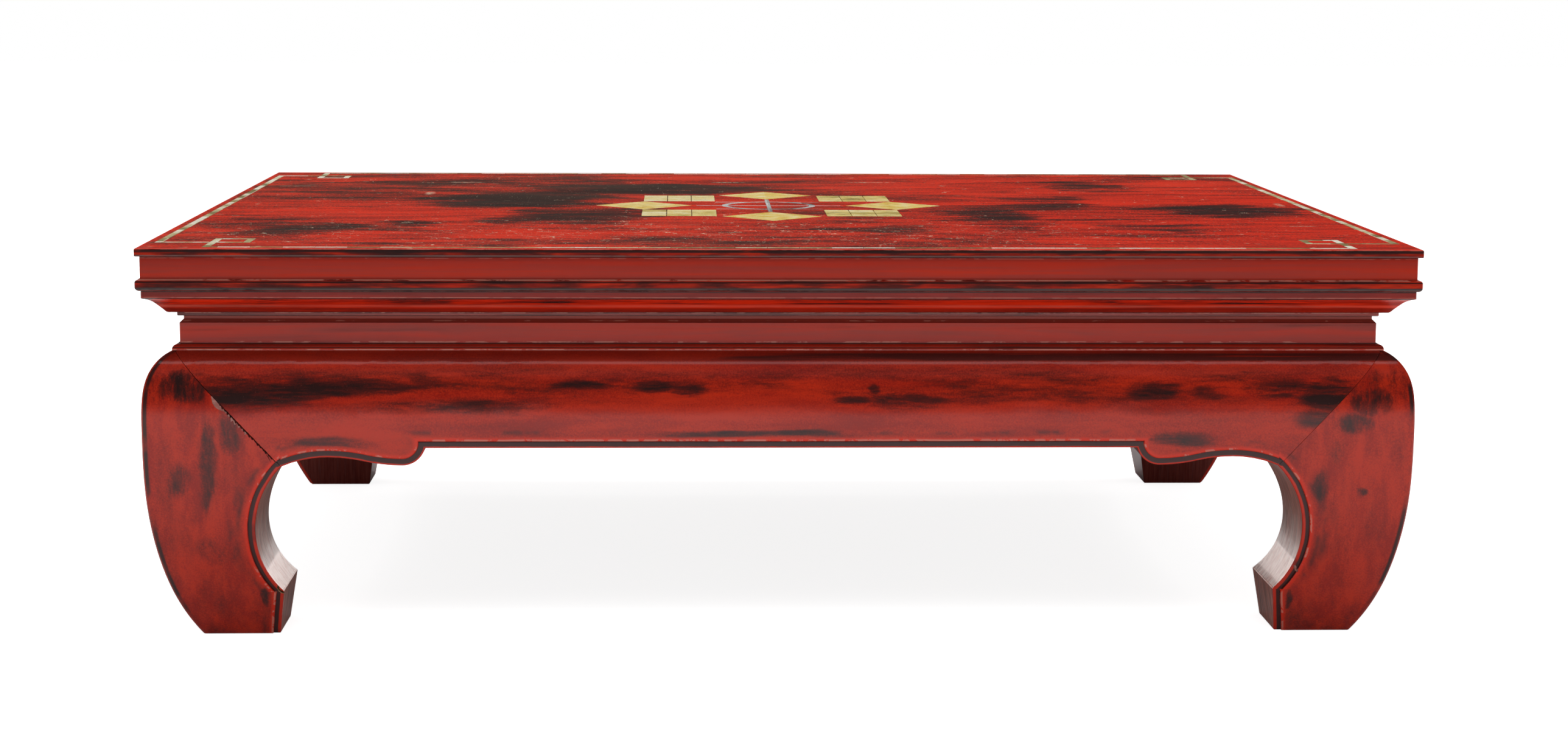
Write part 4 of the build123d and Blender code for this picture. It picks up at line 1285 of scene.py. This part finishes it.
@dataclass(frozen=True)
class WornCorner:
    """Breaks in the front: the left mitre has opened and splintered, and each leg is chipped.

    Outlines are places along X and levels; the mitre runs from its head to its foot.
    """

    head: Point = (-0.4494, 0.2150)
    foot: Point = (-0.3765, 0.1370)
    flake: tuple[Point, ...] = (
        (-0.4262, 0.1896),
        (-0.4228, 0.1867),
        (-0.4196, 0.1831),
        (-0.4150, 0.1782),
        (-0.4163, 0.1776),
        (-0.4201, 0.1789),
        (-0.4231, 0.1810),
        (-0.4250, 0.1838),
    )
    splinter: tuple[Point, ...] = (
        (-0.3872, 0.1472),
        (-0.3840, 0.1428),
        (-0.3822, 0.1384),
        (-0.3826, 0.1392),
        (-0.3846, 0.1430),
    )
    hoof_tip: tuple[Point, ...] = (
        (-0.3826, 0.0388),
        (-0.3822, 0.0412),
        (-0.3806, 0.0424),
        (-0.3790, 0.0412),
        (-0.3779, 0.0408),
        (-0.3776, 0.0345),
        (-0.3796, 0.0352),
        (-0.3812, 0.0366),
    )
    lip_chip: tuple[Point, ...] = (
        (0.3915, 0.0560),
        (0.3930, 0.0568),
        (0.3952, 0.0532),
        (0.3950, 0.0510),
        (0.3932, 0.0515),
    )
    seed: int = 11

    def build(self, apron: bpy.types.Material, leg: bpy.types.Material) -> None:
        """Replaces the front apron and both front legs by chipped ones.

        Args:
            apron: Finish of the apron.
            leg: Finish of the legs.
        """
        chance = random.Random(self.seed)
        broken = BrokenGround("broken_ground", (0.100, 0.022, 0.015, 1.0), (0.340, 0.110, 0.080, 1.0)).build()
        shadow = BrokenGround("split_mitre", (0.008, 0.003, 0.003, 1.0), (0.130, 0.012, 0.006, 1.0)).build()
        pale = BrokenGround("pale_flake", (0.300, 0.110, 0.090, 1.0), (0.420, 0.200, 0.170, 1.0)).build()
        mitre = [
            Break(self.flake, 0.00035, pale),
            Break(self._jagged(chance, 0.42, 0.72, 9, 0.0002, 0.0038), 0.0003, pale),
            Break(self._jagged(chance, 0.80, 0.99, 7, 0.0003, 0.0014), 0.00045, broken),
            Break(self._jagged(chance, 0.01, 0.38, 16, 0.0002, 0.0004), 0.0010, shadow),
            Break(self._jagged(chance, 0.34, 0.99, 24, 0.0005, 0.0020), 0.0016, shadow),
            Break(self.splinter, 0.001, shadow),
        ]
        chipped = BrokenGround("chipped_hoof", (0.300, 0.140, 0.070, 1.0), (0.640, 0.420, 0.250, 1.0)).build()
        tip = Break(self.hoof_tip, 0.0050, chipped)
        lip = Break(self.lip_chip, 0.0012, pale)
        left = [surface_of("apron_front"), surface_of("leg_front_left")]
        for name, finish, surfaces, breaks in (
            ("apron_front", apron, left, mitre),
            ("leg_front_left", leg, left, mitre + [tip]),
            ("leg_front_right", leg, [surface_of("leg_front_right")], [lip]),
        ):
            piece = copy_of(name)
            dress(piece, finish)
            for patch in breaks:
                cut(piece, patch.cutter(surfaces))
            keep_shading(piece, name)
            log.info("%s: %d faces", piece.name, len(piece.data.polygons))

    def _jagged(
        self, chance: random.Random, start: float, end: float, teeth: int, above: float, below: float
    ) -> tuple[Point, ...]:
        """Outline of a strip along the mitre with a jagged edge on each side.

        Args:
            chance: Source of its irregularity.
            start: Where it starts, as a share of the mitre from its head.
            end: Where it ends, in the same way.
            teeth: Number of its teeth.
            above: Reach of the teeth on the apron's side.
            below: Reach of the teeth on the leg's side.

        Returns:
            The outline.
        """
        along = Vector(self.foot) - Vector(self.head)
        aside = Vector((-along.y, along.x)).normalized()
        upper, lower = [], []
        for step in range(2 * teeth + 1):
            share = step / (2 * teeth)
            middle = Vector(self.head) + along * (start + (end - start) * share)
            taper = min(1.0, 5.0 * share + 0.08, 5.0 * (1.0 - share) + 0.08)
            lean = along * (end - start) / (2 * teeth) * 0.7 * (step % 2)
            reach = chance.uniform(0.45, 1.0) if step % 2 else chance.uniform(0.08, 0.35)
            upper.append(tuple(middle + aside * above * taper * chance.uniform(0.3, 1.0)))
            lower.append(tuple(middle + lean - aside * below * taper * reach))
        return tuple(upper + lower[::-1])


def cut(piece: bpy.types.Object, cutter: bpy.types.Object) -> None:
    """Cuts one piece by another, which is used up.

    Args:
        piece: The piece that is cut.
        cutter: The piece that cuts.
    """
    select(piece)
    modifier = piece.modifiers.new("chips", "BOOLEAN")
    modifier.operation = "DIFFERENCE"
    modifier.solver = "EXACT"
    modifier.use_self = True
    modifier.material_mode = "TRANSFER"
    modifier.object = cutter
    bpy.ops.object.modifier_apply(modifier=modifier.name)
    bpy.data.objects.remove(cutter)


def shading_at(mesh: bpy.types.Mesh, surface: BVHTree, place: Vector, facing: Vector) -> Vector:
    """Finds how a mesh is shaded at a place on it.

    Args:
        mesh: The mesh.
        surface: Its surface.
        place: The place.
        facing: Which way the surface faces there.

    Returns:
        The direction that it is shaded for; the way it faces if the place isn't on the mesh.
    """
    best, agreement = None, SAME_FACING
    for _, normal, index, _ in surface.find_nearest_range(place, SAME_PLACE):
        if normal.dot(facing) > agreement:
            best, agreement = index, normal.dot(facing)
    if best is None:
        return facing.copy()
    corners = mesh.polygons[best].loop_indices
    weights = poly_3d_calc([mesh.vertices[mesh.loops[corner].vertex_index].co for corner in corners], place)
    return sum((mesh.corner_normals[c].vector * weight for c, weight in zip(corners, weights)), Vector()).normalized()


def keep_shading(piece: bpy.types.Object, name: str) -> None:
    """Shades a cut copy as its CAD node is shaded, and the cuts flat.

    Args:
        piece: The cut copy.
        name: Name of the CAD node.
    """
    source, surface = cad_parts[name].data, surface_of(name)
    normals = []
    bpy.ops.object.shade_smooth()
    for face in piece.data.polygons:
        for corner in face.loop_indices:
            place = piece.data.vertices[piece.data.loops[corner].vertex_index].co.lerp(face.center, 0.02)
            kept = face.material_index == 0
            normals.append(shading_at(source, surface, place, face.normal) if kept else face.normal.copy())
    piece.data.normals_split_custom_set(normals)


def dress(piece: bpy.types.Object, material: bpy.types.Material) -> None:
    """Gives a piece one material.

    Args:
        piece: The piece.
        material: Its finish.
    """
    for slot in piece.material_slots:
        slot.material = material
    if not piece.material_slots:
        piece.data.materials.append(material)
    log.info("%s wears %s", piece.name, material.name)


def dress_all(starts: str | tuple[str, ...], material: bpy.types.Material) -> None:
    """Gives one material to all the nodes of a kind.

    Args:
        starts: What their names start with.
        material: Their finish.
    """
    for name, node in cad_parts.items():
        if name.startswith(starts):
            dress(node, material)


# ---------------------------------------------------------------- studio
@dataclass(frozen=True)
class Viewpoint:
    """Camera in front of the table, a little above it."""

    place: tuple[float, float, float] = (-0.0756, -2.5532, 0.5127)
    yaw: float = 2.017
    pitch: float = 8.068
    roll: float = -0.277
    focal_length: float = 67.12
    film_width: float = 36.0
    reach: float = 50.0

    def build(self) -> bpy.types.Object:
        """Adds the camera and makes it the scene's own.

        Returns:
            The camera.
        """
        yaw, pitch, roll = (math.radians(angle) for angle in (self.yaw, self.pitch, self.roll))
        ahead = Vector((math.sin(yaw) * math.cos(pitch), math.cos(yaw) * math.cos(pitch), -math.sin(pitch)))
        level = Vector((math.cos(yaw), -math.sin(yaw), 0.0))
        down = ahead.cross(level)
        right = level * math.cos(roll) + down * math.sin(roll)
        below = down * math.cos(roll) - level * math.sin(roll)
        bpy.ops.object.camera_add()
        camera = bpy.context.object
        camera.matrix_world = Matrix.Translation(self.place) @ Matrix((right, -below, -ahead)).transposed().to_4x4()
        camera.data.sensor_width = self.film_width
        camera.data.lens = self.focal_length
        camera.data.clip_end = self.reach
        bpy.context.scene.camera = camera
        return camera


@dataclass(frozen=True)
class Studio:
    """Plain pale floor, soft lamps overhead and in front, and a white surround."""

    floor_reach: float = 12.0
    floor_grey: Colour = (0.80, 0.80, 0.80, 1.0)
    floor_glow: float = 0.86
    card_tint: tuple[float, float, float] = (1.0, 0.88, 0.84)
    white: Colour = (1.0, 1.0, 1.0, 1.0)
    ambient: float = 0.30
    gloom: float = 0.035

    def build(self) -> None:
        """Builds the floor, the lamps and the surround."""
        bpy.ops.object.select_all(action="DESELECT")
        bpy.ops.mesh.primitive_plane_add(size=2 * self.floor_reach, location=(0.0, 0.0, 0.0))
        floor = bpy.context.object
        floor.name = "studio_floor"
        floor.data.materials.append(self._floor_finish())
        self._lamp("overhead", (0.0, 0.85, 2.6), (0.0, 0.1, 0.3), (2.6, 1.6), 62.0)
        self._lamp("strip", (0.0, -0.95, 2.2), (0.0, -0.5, 0.2), (2.4, 0.3), 4.0)
        for name, x, y in (("front", 0.0, -1.9), ("back", 0.0, 2.3), ("left", -2.3, 0.0), ("right", 2.3, 0.0)):
            size = (1.0, 2.4) if x else (2.4, 1.0)
            wash = self._lamp(f"{name}_wash", (x, y, 1.6), (x, y, 0.0), size, 21.0, 110.0)
            wash.visible_glossy = False
        card = self._lamp("low_card", (0.0, 1.3, 0.15), (0.0, 0.0, 0.15), (3.2, 0.26), 10.0)
        card.data.color = self.card_tint
        card.visible_diffuse = False
        self._surround()

    def _lamp(
        self, name: str, place: tuple, aim: tuple, size: Point, power: float, spread: float = 180.0
    ) -> bpy.types.Object:
        """Hangs one rectangular lamp.

        Args:
            name: Its name.
            place: Where it hangs.
            aim: What it points at.
            size: Its width and height.
            power: Its power in watts.
            spread: Angle of its beam in degrees.

        Returns:
            The lamp.
        """
        bpy.ops.object.light_add(type="AREA", location=place)
        lamp = bpy.context.object
        lamp.name = name
        lamp.data.shape = "RECTANGLE"
        lamp.data.size, lamp.data.size_y = size
        lamp.data.energy = power
        lamp.data.spread = math.radians(spread)
        lamp.visible_camera = False
        lamp.rotation_euler = (Vector(aim) - Vector(place)).to_track_quat("-Z", "Y").to_euler()
        return lamp

    def _floor_finish(self) -> bpy.types.Material:
        """Makes the finish of a matt pale floor, nearly white outside the table's shadow.

        Returns:
            The material.
        """
        graph = ShaderGraph(bpy.data.materials.new("studio_floor"))
        camera = graph.node("ShaderNodeLightPath", output="Is Camera Ray")
        matt = graph.node("ShaderNodeBsdfDiffuse", None, {"Color": self.floor_grey})
        glow = graph.node("ShaderNodeEmission", None, {"Color": self.white, "Strength": camera * self.floor_glow})
        return graph.finish(graph.node("ShaderNodeAddShader", None, {0: matt, 1: glow}))

    def _surround(self) -> None:
        """White to the camera, a soft light on the table, and dim in its gloss."""
        world = bpy.data.worlds.new("surround")
        graph = ShaderGraph(world)
        camera = graph.node("ShaderNodeLightPath", output="Is Camera Ray")
        glossy = graph.node("ShaderNodeLightPath", output="Is Glossy Ray")
        strength = graph.choose(glossy, self.ambient, self.gloom)
        strength = graph.choose(camera, strength, 1.0)
        light = graph.node("ShaderNodeBackground", None, {"Color": self.white, "Strength": strength})
        graph.finish(light, "ShaderNodeOutputWorld")
        bpy.context.scene.world = world


def main() -> None:
    """Dresses the table, places the camera and builds the studio."""
    logging.basicConfig(level=logging.INFO)
    bpy.ops.object.select_all(action="DESELECT")
    TableTop().dress()
    Mouldings().dress()
    Stand().dress()
    Viewpoint().build()
    Studio().build()
    bpy.context.scene.view_settings.view_transform = "Standard"


if __name__ == "__main__":
    main()
